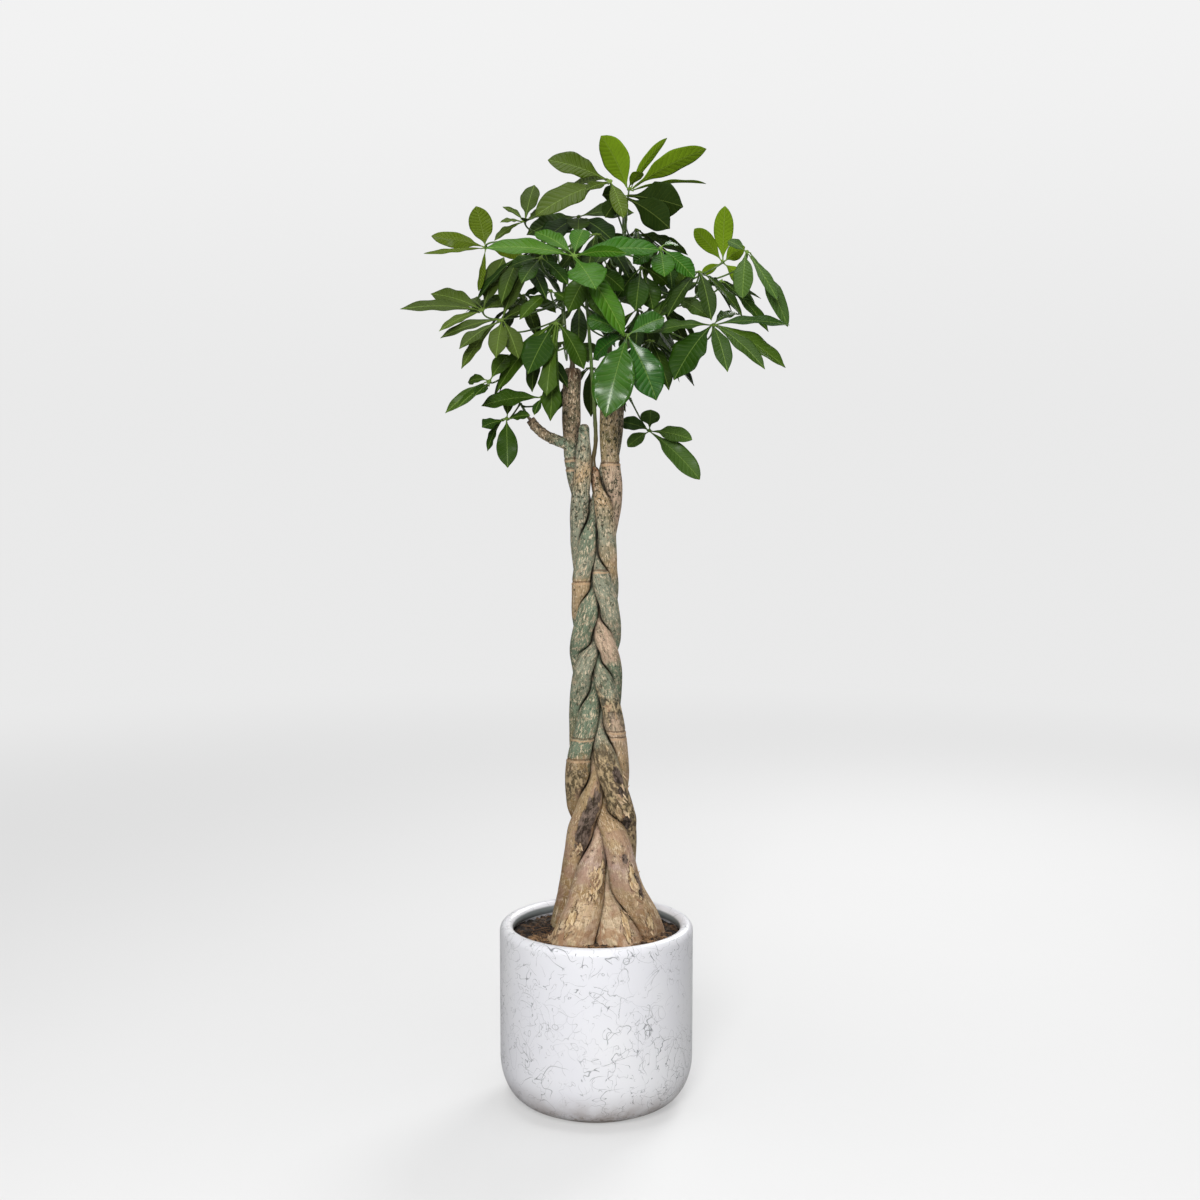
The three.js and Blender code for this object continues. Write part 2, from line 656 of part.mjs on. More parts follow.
// Right and up in the plane of a leaf, seen from the side that it faces.
function planeOf(face) {
  const right = new THREE.Vector3(1, 0, 0).addScaledVector(face, -face.x).normalize();
  return { right, up: face.clone().cross(right) };
}

// The leaflets of a leaf in order around the hub, each with the room beside its neighbours and
// with its root kept a fair angle from the next.
function rootsOf(leaf, plane) {
  const roots = leaf.leaflets.map(([right, back, up, width, roll = 0]) => {
    const tip = new THREE.Vector3(right, back, up);
    const angle = Math.atan2(tip.dot(plane.up), tip.dot(plane.right));
    return { tip, width, roll: radians(roll), angle };
  });
  roots.sort((a, b) => a.angle - b.angle);
  const last = roots.length - 1;
  const next = (i) => roots[i < last ? i + 1 : 0];
  const gapAfter = (i) => next(i).angle - roots[i].angle + (i < last ? 0 : 2 * Math.PI);
  roots.forEach((root, i) => {
    const nearest = Math.min(1, gapAfter(i), gapAfter(i > 0 ? i - 1 : last));
    root.room = Math.sin(nearest / 2);
  });
  for (let round = 0; round < SPACING_ROUNDS; round += 1) {
    roots.forEach((root, i) => {
      const short = Math.max(0, ROOT_SPACING - gapAfter(i));
      root.angle -= short / 2;
      next(i).angle += short / 2;
    });
  }
  return roots;
}

// One cross row of a leaflet: right edge, midrib and left edge, on its upper and lower face.
function bladeRow(curve, root, face, row) {
  const middle = curve.getPoint(row.t);
  const along = curve.getTangent(row.t);
  const left = face.clone().cross(along).normalize();
  left.applyAxisAngle(along, root.roll * Math.min(1, row.t / ROLL_END));
  const normal = along.clone().cross(left).normalize();
  const free = (row.width * root.width) / 2;
  const room = Math.max(LEAST_HALF, root.room * row.t * root.tip.length());
  const half = row.crowded ? Math.min(free, room) : free;
  const edge = (side) => {
    const flat = middle.clone().addScaledVector(left, side * half);
    return flat.addScaledVector(normal, FOLD * half);
  };
  return bothFaces([edge(-1), middle, edge(1)], normal);
}

function bothFaces(points, normal) {
  const lifted = (height) => points.map((point) => point.clone().addScaledVector(normal, height));
  return { upper: lifted(BLADE / 2), lower: lifted(-BLADE / 2) };
}

// The midrib of a leaflet, arched upwards between its root and its tip.
function midribOf(start, end, face) {
  const chord = end.clone().sub(start);
  const length = chord.length();
  const lift = face.clone().add(new THREE.Vector3(0, 0, 1));
  lift.addScaledVector(chord, -lift.dot(chord) / (length * length)).normalize();
  const bend = start.clone().lerp(end, ARCH_PLACE).addScaledVector(lift, ARCH * length);
  return new THREE.QuadraticBezierCurve3(start, bend, end);
}

// The strip of triangles between two rows of points; `under` turns it over.
function strip(a, b, under = false) {
  const triangles = [];
  for (let i = 0; i + 1 < a.length; i += 1) {
    triangles.push([a[i], b[i], a[i + 1]], [a[i + 1], b[i], b[i + 1]]);
  }
  return under ? triangles.map((triangle) => triangle.reverse()) : triangles;
}

// A whole leaf as one closed mesh: a small flat hub, and a folded, arched blade for each leaflet.
function leafGeometry(leaf) {
  const face = faceOf(leaf);
  const plane = planeOf(face);
  const hub = vector(leaf.hub);
  const roots = rootsOf(leaf, plane);
  const points = [];
  const triangles = [];
  const add = (list) => list.map((point) => points.push(point) - 1);
  const addRow = ({ upper, lower }) => ({ upper: add(upper), lower: add(lower) });
  const rim = (angle) =>
    hub
      .clone()
      .addScaledVector(plane.right, HUB_RADIUS * Math.cos(angle))
      .addScaledVector(plane.up, HUB_RADIUS * Math.sin(angle));
  const turn = Math.asin(ROOT_HALF / HUB_RADIUS);
  const ringOf = ({ angle }) => [rim(angle - turn), rim(angle), rim(angle + turn)];
  const rings = roots.map((root) => addRow(bothFaces(ringOf(root), face)));
  const [top, bottom] = add([1, -1].map((side) => hub.clone().addScaledVector(face, side * HUB_HALF)));

  roots.forEach((root, i) => {
    const end = hub.clone().add(root.tip);
    const midrib = midribOf(rim(root.angle), end, face);
    let last = rings[i];
    for (const row of root.width < SMALL_BLADE ? SMALL_BLADE_ROWS : BLADE_ROWS) {
      const next = addRow(bladeRow(midrib, root, face, row));
      triangles.push(
        ...strip(last.upper, next.upper),
        ...strip(last.lower, next.lower, true),
        ...strip([last.lower[0], last.upper[0]], [next.lower[0], next.upper[0]]),
        ...strip([last.upper[2], last.lower[2]], [next.upper[2], next.lower[2]]),
      );
      last = next;
    }
    const [tip] = add([end]);
    triangles.push(
      [last.upper[0], tip, last.upper[1]],
      [last.upper[1], tip, last.upper[2]],
      [last.lower[1], tip, last.lower[0]],
      [last.lower[2], tip, last.lower[1]],
      [last.lower[0], tip, last.upper[0]],
      [last.upper[2], tip, last.lower[2]],
    );
    const { upper, lower } = rings[i];
    const following = rings[(i + 1) % rings.length];
    triangles.push(
      [top, upper[0], upper[1]],
      [top, upper[1], upper[2]],
      [top, upper[2], following.upper[0]],
      [bottom, lower[1], lower[0]],
      [bottom, lower[2], lower[1]],
      [bottom, following.lower[0], lower[2]],
      ...strip([following.upper[0], following.lower[0]], [upper[2], lower[2]]),
    );
  });
  return closedMesh(points, triangles);
}

// The plain fan of a far leaf, given in the same terms as the measured leaves.
function fannedLeaf(leaf) {
  const fan = FANS[leaf.fan];
  const widest = Math.max(...fan.angles);
  const leaflets = fan.angles.map((angle) => {
    const length = fan.length * (1 - (fan.shorter * Math.abs(angle)) / widest);
    const bearing = radians(leaf.heading + angle);
    return [length * Math.cos(bearing), length * Math.sin(bearing), -fan.droop * length, fan.width * length];
  });
  const ahead = radians(leaf.heading);
  return { ...leaf, face: [Math.cos(ahead), Math.sin(ahead), FAN_UPRIGHT], leaflets };
}

const ALL_LEAVES = [...LEAVES, ...FAR_LEAVES.map(fannedLeaf)];

function material({ colour, roughness }) {
  return new THREE.MeshStandardMaterial({ color: colour, roughness, metalness: 0 });
}

const model = new THREE.Group();

function place(name, geometry, finish) {
  const mesh = new THREE.Mesh(geometry, material(finish));
  mesh.name = name;
  model.add(mesh);
}

place("pot", turned(potProfile()), FINISHES.pot);
place("soil", soilGeometry(), FINISHES.soil);
TRUNKS.forEach((trunk, i) => {
  const geometry = i === BRANCH.trunk ? branchedTrunkGeometry(trunk) : trunkGeometry(trunk);
  place(trunk.name, geometry, FINISHES.bark);
});
SHOOTS.forEach((shoot, i) => {
  place(shoot.name, shootGeometry(shoot, i + 1), FINISHES.shoot);
});
ALL_LEAVES.forEach((leaf) => {
  place(leaf.name, leafGeometry(leaf), FINISHES.leaf);
});

export default model;
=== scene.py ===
"""A braided money tree in a round white planter, dressed for its portrait.

Measures are in millimetres until a mesh is made, with +Z up and -Y towards the viewer. In the
materials, patterns are scaled per metre and the depths of bumps are in metres.
"""

import math
from collections import namedtuple
from types import SimpleNamespace

import bpy
import numpy as np
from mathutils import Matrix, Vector, noise


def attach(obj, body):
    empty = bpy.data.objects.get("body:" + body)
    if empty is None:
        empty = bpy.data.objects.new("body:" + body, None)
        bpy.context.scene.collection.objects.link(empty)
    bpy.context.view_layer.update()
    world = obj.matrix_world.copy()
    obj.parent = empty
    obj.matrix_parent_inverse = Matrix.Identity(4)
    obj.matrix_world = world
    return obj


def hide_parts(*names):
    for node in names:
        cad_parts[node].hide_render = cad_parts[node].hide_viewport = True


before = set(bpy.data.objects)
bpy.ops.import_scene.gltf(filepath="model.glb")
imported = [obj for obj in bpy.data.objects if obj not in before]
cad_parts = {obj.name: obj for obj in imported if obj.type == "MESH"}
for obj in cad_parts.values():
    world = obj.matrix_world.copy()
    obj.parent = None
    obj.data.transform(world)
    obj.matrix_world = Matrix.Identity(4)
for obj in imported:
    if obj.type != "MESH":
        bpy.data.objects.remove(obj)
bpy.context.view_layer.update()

MM = 0.001
PER_METRE = 1000
TURN = 2 * math.pi
CURVE_STEPS = 40
STEEP = 0.9

# Pot: an upright wall, a rounded foot corner and a fat rounded rim that leans in over the wall.
POT_HEIGHT = 320
POT_RADIUS = 170
POT_INNER_RADIUS = 156
POT_MOUTH_RADIUS = 146
POT_RIM_DROP = 14
POT_LIP_DROP = 26
POT_LIP_TUCK = (1.5, 5)
POT_CORNER_WIDTH = 50
POT_CORNER_HEIGHT = 80
POT_FOOT_RADIUS = 116
POT_FOOT_HEIGHT = 6
POT_FOOT_BAND = 4
POT_FOOT_EDGE = 1.2
POT_FOOT_CREASE = 0.6
POT_FLOOR = 16
POT_SIDES = 192
POT_WALL_STEPS = 12
POT_CORNER_STEPS = 24
POT_RIM_STEPS = 14

# Hairlines in the glaze: scale, width and seed of each layer.
HAIRLINES = [
    (9, 0.003, 1.3), (11, 0.0036, 22.4), (12, 0.0036, 4.1), (16, 0.0045, 7.7), (19, 0.005, 31.6),
    (21, 0.005, 9.2), (28, 0.006, 12.9), (36, 0.008, 15.1),
]

# Where the glaze changes: from where a change begins to where it is complete.
FOOT_DARKENING_ZONE = (75, 12)
SPECKLE_ZONE = (35, 12)
# A brown line of painted shade just above the foot, under the rounded corner: its height and zone.
SHADE_LINE_HEIGHT = 9.5
SHADE_LINE_ZONE = (6, 2)
FOOT_ZONE = (7.5, 5)
# Painted shade inside the rim and down the inner wall: its radius, top and floor.
INSIDE_RADIUS = (152.5, 149)
INSIDE_TOP = (314.5, 310.5)
INSIDE_FLOOR = (80, 90)

# Colours are linear light. A pair is mixed, from its first colour to its second.
GLAZE_WHITES = ((0.79, 0.79, 0.83), (0.84, 0.84, 0.86))
HAIRLINE_GREY = (0.11, 0.12, 0.13)
FOOT_DARKENING = (0.34, 0.285, 0.26)
SPECKLE = (0.20, 0.13, 0.08)
SHADE_LINE_BROWN = (0.24, 0.18, 0.14)
FOOT_CLAY = (0.92, 0.86, 0.76)
INSIDE_SHADE = (0.21, 0.235, 0.24)

# Soil: radius and height of the mound from its middle to the pot's wall.
SOIL_PROFILE = [(0, 303), (112, 299), (155.7, 292)]
SOIL_SKIRT = 12
SOIL_RELIEF = 3.0
SOIL_RINGS = 70
SOIL_SIDES = 200
LUMP_SIZE = 14
CRUMB_SIZE = 5
CRUMB_SHIFT = 300
SOIL_ROUGHNESS = (0.9, 2.1, 4)
SOIL_DARKS = ((0.005, 0.004, 0.004), (0.028, 0.018, 0.012))
SOIL_SPECK = (0.2, 0.12, 0.065)

# Bark chips in the soil.
CHIP_COUNT = 700
CHIP_REACH = 148
CHIP_NEAREST = 0.12
CHIP_SIZE = (1.6, 5)
CHIP_WIDTH = (0.4, 0.9)
CHIP_THICKNESS = (0.25, 0.5)
CHIP_OUTLINE = [(-1, -1), (1, -0.9), (0.8, 1), (-0.9, 0.8)]
CHIP_UNEVENNESS = (0.7, 1.15)
CHIP_TIP = 0.5
CHIP_LIFT = 1.2
CHIP_DARKNESS = 3
CHIP_SEED = 5
CHIP_BROWNS = ((0.012, 0.009, 0.006), (0.12, 0.065, 0.033))
CHIP_GRAIN = (0.09, 0.055, 0.032)

# Fibres on the soil: bearings, distances and shades at the front of the trunks, and elsewhere.
FIBRE_COUNT = 620
FIBRE_SEED = 6
FRONT_SHARE = 0.6
FRONT_FIBRES = ((-2.9, -0.25), (84, 140), (0.35, 1))
OTHER_FIBRES = ((0, TURN), (60, 148), (0, 0.35))
FIBRE_LIMIT = 154
FIBRE_LENGTH = (8, 30)
FIBRE_BOW = 0.06
FIBRE_ARCH = 3
FIBRE_LIFT = 1.4
FIBRE_RADIUS = (0.3, 0.75)
FIBRE_STEPS = 7
FIBRE_SIDES = 5
FIBRE_BROWNS = ((0.10, 0.045, 0.02), (0.46, 0.275, 0.135))
FIBRE_MOTTLE = (0.1, 0.06, 0.03)

# Trunks: heights are steps above the root end.
LEVEL_STEP = 23.8
ROOT_Z = 215
TRUNK_FOOT = 262
TRUNK_GAP = 1.6
TRUNK_SIDES = 64
RING_STEP = 3.4
EDGE_SOFTNESS = 2.6
FAR_AWAY = 1e3
FACING = 0.01
FRONT_EDGE = 0.2
# Creases where a trunk presses on the others, as a share of its radius: they are painted darker as shade,
# and their relief is calmed.
CREASE_ZONE = (0.02, 0.2)
CREASE_CALM = 0.7

# The bark's relief: size of its lumps across and along the trunk, and their height.
BARK_RELIEF = [(16, 40, 0.9), (4, 30, 0.45)]
BARK_SEED_STEP = 17.3

# How far round the plait the trunks have travelled at each crossing, a tenth of a turn apart.
TENTH_TURN = math.pi / 5
CROSSINGS = [
    215, 372, 483, 525, 589, 671, 737, 786, 818, 862, 913, 970, 1039, 1097, 1155, 1213, 1272,
]
FIRST_FULL_TURN = 12

# Height, half the plait's width, its depth, one trunk's radius and the bundle's lean.
PLAIT = [
    (215, 106, 44, 50, 6),
    (277, 105, 44, 49, 8),
    (350, 88, 42, 37, 12),
    (395, 75, 36, 30.5, 9),
    (465, 65, 31, 25.5, 9),
    (540, 60, 28, 23, 6),
    (610, 57, 26, 21.5, 1),
    (680, 50, 24, 19.5, 1),
    (800, 45, 22, 18.5, -1),
    (890, 43, 22, 18.5, -1),
    (960, 41, 21, 18, -4),
    (1060, 46, 20, 17, -2),
    (1130, 50, 20, 15.5, -5),
    (1200, 53, 20, 15.5, -5),
    (1300, 53, 20, 15.5, -3),
]
HALF, DEPTH, RADIUS, LEAN = 1, 2, 3, 4

# Each trunk: its start in fifths of a turn, steps to its top, where it stops winding in degrees,
# thickness, narrowing at the top, and its root's spread.
Trunk = namedtuple("Trunk", "fifths steps stop thick taper spread")
TRUNKS = [
    Trunk(3, 45, 270, 1, 1, (14, -26)),
    Trunk(4, 41, 335, 0.95, 0.65, (-6, 20)),
    Trunk(2, 38, 185, 0.95, 0.6, (20, 20)),
    Trunk(1, 43, 135, 1.03, 1, (16, 44)),
    Trunk(0, 44, 90, 0.95, 1, (-6, -8)),
]
TAPER_LENGTH = 75
SPREAD_TOP = 430
STOP_SOFTNESS = 0.2

# The rounded edge of a cut top: how far below the top, and how far the edge is drawn in.
CUT_EDGE = [(8, 0), (5.5, 0.6), (3.4, 1.5), (1.8, 2.9), (0.7, 4.4), (0, 5.8)]
# The hollow of its face: the share of the way out from the middle, and how far below the top.
CUT_FACE = [(0.7, 0.4), (0.4, 0.9), (0.1, 1.2)]
CUT_ZONE = (2.2, 0.6)

# Ring scars: the trunk's place in the list, and the height.
RING_SCARS = [(0, 1128), (0, 1112), (0, 939), (0, 649), (0, 612), (3, 1122), (4, 918), (4, 659), (4, 648)]
RING_WIDTH = 1.8
RING_RELIEF = 0.9
RING_GROOVE = 1.3
RING_GROOVE_RISE = 1.8

# Dark scars on the front of the trunks, one of them painted shadow under torn bark: the trunk's place,
# right, height, half width, half height.
SCARS_AND_SHADOW = [
    (1, -18, 504, 14, 60),
    (2, 49, 446, 5, 9),
    # Painted shadow under the cluster of torn bark here.
    (2, 71, 396, 6, 24),
    (3, 37, 588, 8, 16),
    (3, 44, 562, 7, 10),
    (3, 53, 503, 9, 18),
]

# Places where the bark has peeled to its creamy inner side, given in the same way.
PEELED = [
    (4, 1, 404, 13, 30),
    (4, -44, 340, 8, 26),
    (4, -74, 322, 9, 16),
    (0, 52, 328, 8, 24),
    (2, 65, 402, 7, 30),
    (2, 92, 330, 6, 20),
    (3, 40, 520, 5, 22),
    (1, -30, 458, 5, 14),
]

# Torn bark, in clusters: the trunk's place, right, height, half width, half height and flakes.
TORN_PLACES = [
    (4, 0, 410, 9, 20, 16),
    (4, -13, 395, 6, 14, 5),
    (4, -46, 333, 16, 15, 9),
    (4, -68, 316, 8, 8, 6),
    (2, 68, 390, 8, 28, 20),
    (2, 84, 330, 6, 16, 5),
    (0, 54, 328, 9, 20, 9),
    (0, 6, 316, 24, 8, 10),
    (4, -88, 305, 20, 8, 12),
    (2, 92, 312, 10, 8, 8),
    (3, 44, 545, 10, 56, 16),
    (1, -30, 460, 6, 14, 8),
    (4, 24, 700, 8, 30, 6),
]
FLAKE_SLANT = 0.35
FLAKE_LENGTH = (6, 20)
FLAKE_LIFT = (2, 8)
FLAKE_SWERVE = 2
FLAKE_HALF = (1, 3.2)
FLAKE_POINT = 1.6
FLAKE_BLUNTNESS = 0.6
FLAKE_THICKNESS = 0.6
FLAKE_LEAST = 0.15
FLAKE_RAGGED = 0.3
FLAKE_CUP = 0.3
FLAKE_SUNK = 0.4
FLAKE_STEPS = 9
FLAKE_ROWS_UP = 6
FLAKE_SEED = 7
FLAKE_BROWNS = ((0.26, 0.15, 0.08), (0.78, 0.59, 0.37))
FLAKE_GRAIN = (0.14, 0.08, 0.045)

# The colours of the bark.
# The darkest colour is painted shade in the creases where the trunks press together.
CREASE_SHADE = (0.022, 0.016, 0.011)
BROWN = (0.14, 0.085, 0.05)
UMBER = (0.27, 0.195, 0.12)
OCHRE = (0.35, 0.225, 0.105)
RUST = (0.25, 0.12, 0.06)
OLIVE = (0.31, 0.24, 0.115)
GREEN = (0.175, 0.225, 0.15)
GREY_GREEN = (0.275, 0.285, 0.205)
TAN = (0.47, 0.325, 0.18)
PINK_TAN = (0.56, 0.40, 0.285)
MAUVE = (0.50, 0.36, 0.30)
SAND = (0.58, 0.45, 0.30)
BEIGE = (0.72, 0.54, 0.34)

# The bark's colour up each trunk: height and colour.
BARK_BANDS = [
    [
        (300, SAND), (430, SAND), (520, OCHRE), (575, OLIVE), (600, OCHRE), (625, GREEN), (770, GREEN),
        (860, GREY_GREEN), (1000, GREY_GREEN), (1040, OLIVE), (1100, GREY_GREEN), (1140, GREEN),
        (1185, UMBER), (1255, UMBER), (1287, BROWN),
    ],
    [
        (300, OLIVE), (390, OCHRE), (470, TAN), (580, TAN), (640, GREY_GREEN), (750, GREEN),
        (790, PINK_TAN), (850, PINK_TAN), (900, TAN), (940, GREY_GREEN), (1060, GREY_GREEN),
        (1110, TAN), (1150, GREY_GREEN), (1190, GREEN),
    ],
    [
        (300, TAN), (370, TAN), (440, MAUVE), (480, TAN), (570, OCHRE), (620, OLIVE), (700, GREEN),
        (760, GREY_GREEN), (900, GREY_GREEN), (950, TAN), (1000, GREY_GREEN), (1060, TAN), (1120, RUST),
    ],
    [
        (300, OLIVE), (460, OLIVE), (540, OLIVE), (600, OCHRE), (650, GREY_GREEN), (740, GREEN),
        (880, GREEN), (960, GREY_GREEN), (1030, PINK_TAN), (1100, PINK_TAN), (1160, OLIVE), (1250, TAN),
    ],
    [
        (300, BEIGE), (350, BEIGE), (385, OCHRE), (430, MAUVE), (500, PINK_TAN), (600, TAN),
        (660, PINK_TAN), (720, GREY_GREEN), (800, GREEN), (860, GREEN), (885, TAN), (912, TAN),
        (940, GREY_GREEN), (1010, GREEN), (1080, GREY_GREEN), (1262, BROWN),
    ],
]
BANDS_FOOT = 250
BANDS_TOP = 1320
BANDS_WAVER = 150
RINGS_WAVER = 12

# What is drawn over the bands. In the first two pairs, green bark has the first colour.
CLOUDS = ((0.09, 0.10, 0.055), (0.23, 0.14, 0.07))
STREAKS = ((0.055, 0.055, 0.032), (0.20, 0.12, 0.055))
PATCH = (0.54, 0.385, 0.26)
FLECK = (0.74, 0.60, 0.42)
SPECK = (0.03, 0.033, 0.02)
HOOP = (0.16, 0.10, 0.06)
STRAND = (0.80, 0.63, 0.42)
MOSS = (0.27, 0.20, 0.095)
BLOOM = (0.40, 0.235, 0.175)
PEEL = (0.85, 0.69, 0.47)
RUSTY_FOOT = (0.34, 0.175, 0.08)
PALE_RING = (0.56, 0.37, 0.22)
PALE_RING_ZONE = (2.6, 0.8)
DARK_RING_ZONE = (2.2, 0.8)
DARK_RING_RISE = 4
BROKEN_BARK = ((0.56, 0.42, 0.24), (0.055, 0.045, 0.028))
# Dark and brown for the scars, and for the painted shadow under torn bark.
WOUND_AND_SHADOW = ((0.03, 0.022, 0.017), (0.24, 0.175, 0.14))
TORN_EDGE = (0.10, 0.055, 0.03)
INNER_BARK = ((0.86, 0.68, 0.42), (0.52, 0.33, 0.16))
CUT_WOOD = ((0.06, 0.035, 0.022), (0.2, 0.125, 0.08))

# Where the bark's character changes: from where a change begins to where it is complete.
WARM_ZONE = (640, 560)
LOW_ZONE = (460, 380)
HIGH_ZONE = (960, 1060)
RUST_ZONE = (392, 318)
MORE_SPECKS, FEWER_SPECKS = 0.055, -0.05

# Rough, broken bark: the trunk's place in the list and the heights between which it has it.
ROUGH_BARK = {0: (560, 585), 3: (455, 615), 4: (690, 720)}
ROUGH_EDGE = 25

# The cut side branch low on the left trunk.
BRANCH_TRUNK = 0
BRANCH_PATH = [(-42, 0, 1156), (-64, -4, 1162), (-86, -8, 1172), (-102, -11, 1185), (-112, -13, 1198)]
BRANCH_ROOT = 10
BRANCH_TIP = 8
BRANCH_COLLAR, BRANCH_COLLAR_WIDTH = 3, 0.12
BRANCH_RINGS = [0.42, 0.66, 0.86]
BRANCH_RING_RELIEF, BRANCH_RING_WIDTH = 0.9, 0.018
BRANCH_STEPS = 60
BRANCH_SIDES = 40
BRANCH_LUMP, BRANCH_LUMP_SIZE = 0.7, 7
BRANCH_CAP = (0.85, 0.5, 0.1)
BRANCH_CAP_RISE = 0.6
BRANCH_DRY_END = 0.97

# Green shoots: each rises from a cut trunk top, from the branch's end or from a trunk's side. The
# trunk's place in the list comes first, and then the stem's radius at its foot and tip.
Shoot = namedtuple("Shoot", "on root tip stem")
SHOOTS = [
    Shoot(0, 4, 2.4, [(-52, 0, 1340), (-56, 5, 1400), (-46, 10, 1470), (-32, 20, 1530)]),
    Shoot(2, 3.6, 2.2, [
        (-1, -16, 1160), (-3, -46, 1215), (-8, -70, 1290), (-14, -90, 1370), (-20, -120, 1430),
    ]),
    Shoot(3, 4, 2.4, [(22, -10, 1300), (30, 0, 1380), (44, 5, 1470), (52, 10, 1560)]),
    Shoot(4, 4, 2.4, [(46, 20, 1310), (70, 30, 1355), (104, 30, 1400), (150, 20, 1430)]),
    Shoot("branch", 2.6, 1.8, [(-122, -20, 1214), (-128, -28, 1226)]),
    Shoot("side", 2.6, 1.8, [(46, 40, 1243), (58, 44, 1236)]),
]
SIDE_SHOOT_TRUNK = 4
SIDE_SHOOT_LEVEL = 43
STEM_RISE = 12
STEM_SUNK = 2
STEM_SIDES = 16
STEM_RINGS = 70
STEM_NODES = np.arange(0.08, 1, 0.085)
STEM_NODE_RELIEF, STEM_NODE_WIDTH = 0.55, 0.012
STEM_COLLAR, STEM_COLLAR_WIDTH = 1.6, 0.03
WOODY_ZONE = (0.05, 0.45)
STALK_RADIUS = 1.5
STALK_BEND = 0.35
STALK_FOOT, STALK_FOOT_WIDTH = 0.9, 0.05
STALK_NECK, STALK_NECK_WIDTH = 0.7, 0.06
STALK_SIDES = 10
STALK_RINGS = 28
STEM_GREENS = ((0.045, 0.085, 0.016), (0.10, 0.17, 0.03))
WOODY_BROWN = (0.13, 0.085, 0.045)

# Leaf blades.
HUB_RADIUS = 6
HUB_KNOB = 3.4
ROOT_SPACING = 0.62
SPACING_ROUNDS = 20
LEAST_HALF = 2.5
TIP_HALF = 0.4
ROOM_START = 0.2
ROOM_GROWTH = 8
FOLD = 0.18
FOLD_ROUNDING = 0.01
ARCH = 0.1
ARCH_PLACE = 0.45
ROLL_END = 0.3
RIPPLES = (2.2, 3.4)
BLADE_THICKNESS = 0.7
TIP_THINNING = 0.6
BLADE_ROWS = 20
ROW_CROWDING = 0.9
BLADE_COLUMNS = np.array([-1, -0.82, -0.6, -0.36, -0.12, 0, 0.12, 0.36, 0.6, 0.82, 1])
MIDRIB_DEPTH = 1.1
MIDRIB_FADE = 0.85
PETIOLULE_RADIUS = 1.7
PETIOLULE_REACH = 1.5
PETIOLULE_TAPER = 0.55
PETIOLULE_RINGS = 6
PETIOLULE_SIDES = 8
KNOB_END = 0.15
KNOB_FLATNESS = 0.7
KNOB_RINGS = 8
KNOB_SIDES = 14
MIDRIB_SPAN = (0.4, 0.5, 0)
CROWN_SEED = 8
OUTLINES = {
    "round": [
        (0, 0.05), (0.08, 0.12), (0.2, 0.38), (0.32, 0.7), (0.45, 0.9), (0.6, 1), (0.74, 0.94),
        (0.86, 0.72), (0.94, 0.42), (0.985, 0.14), (1, 0.02),
    ],
    "pointed": [
        (0, 0.05), (0.08, 0.12), (0.18, 0.34), (0.3, 0.66), (0.42, 0.87), (0.56, 0.99), (0.67, 0.98),
        (0.78, 0.86), (0.87, 0.6), (0.93, 0.32), (0.97, 0.12), (1, 0.02),
    ],
}

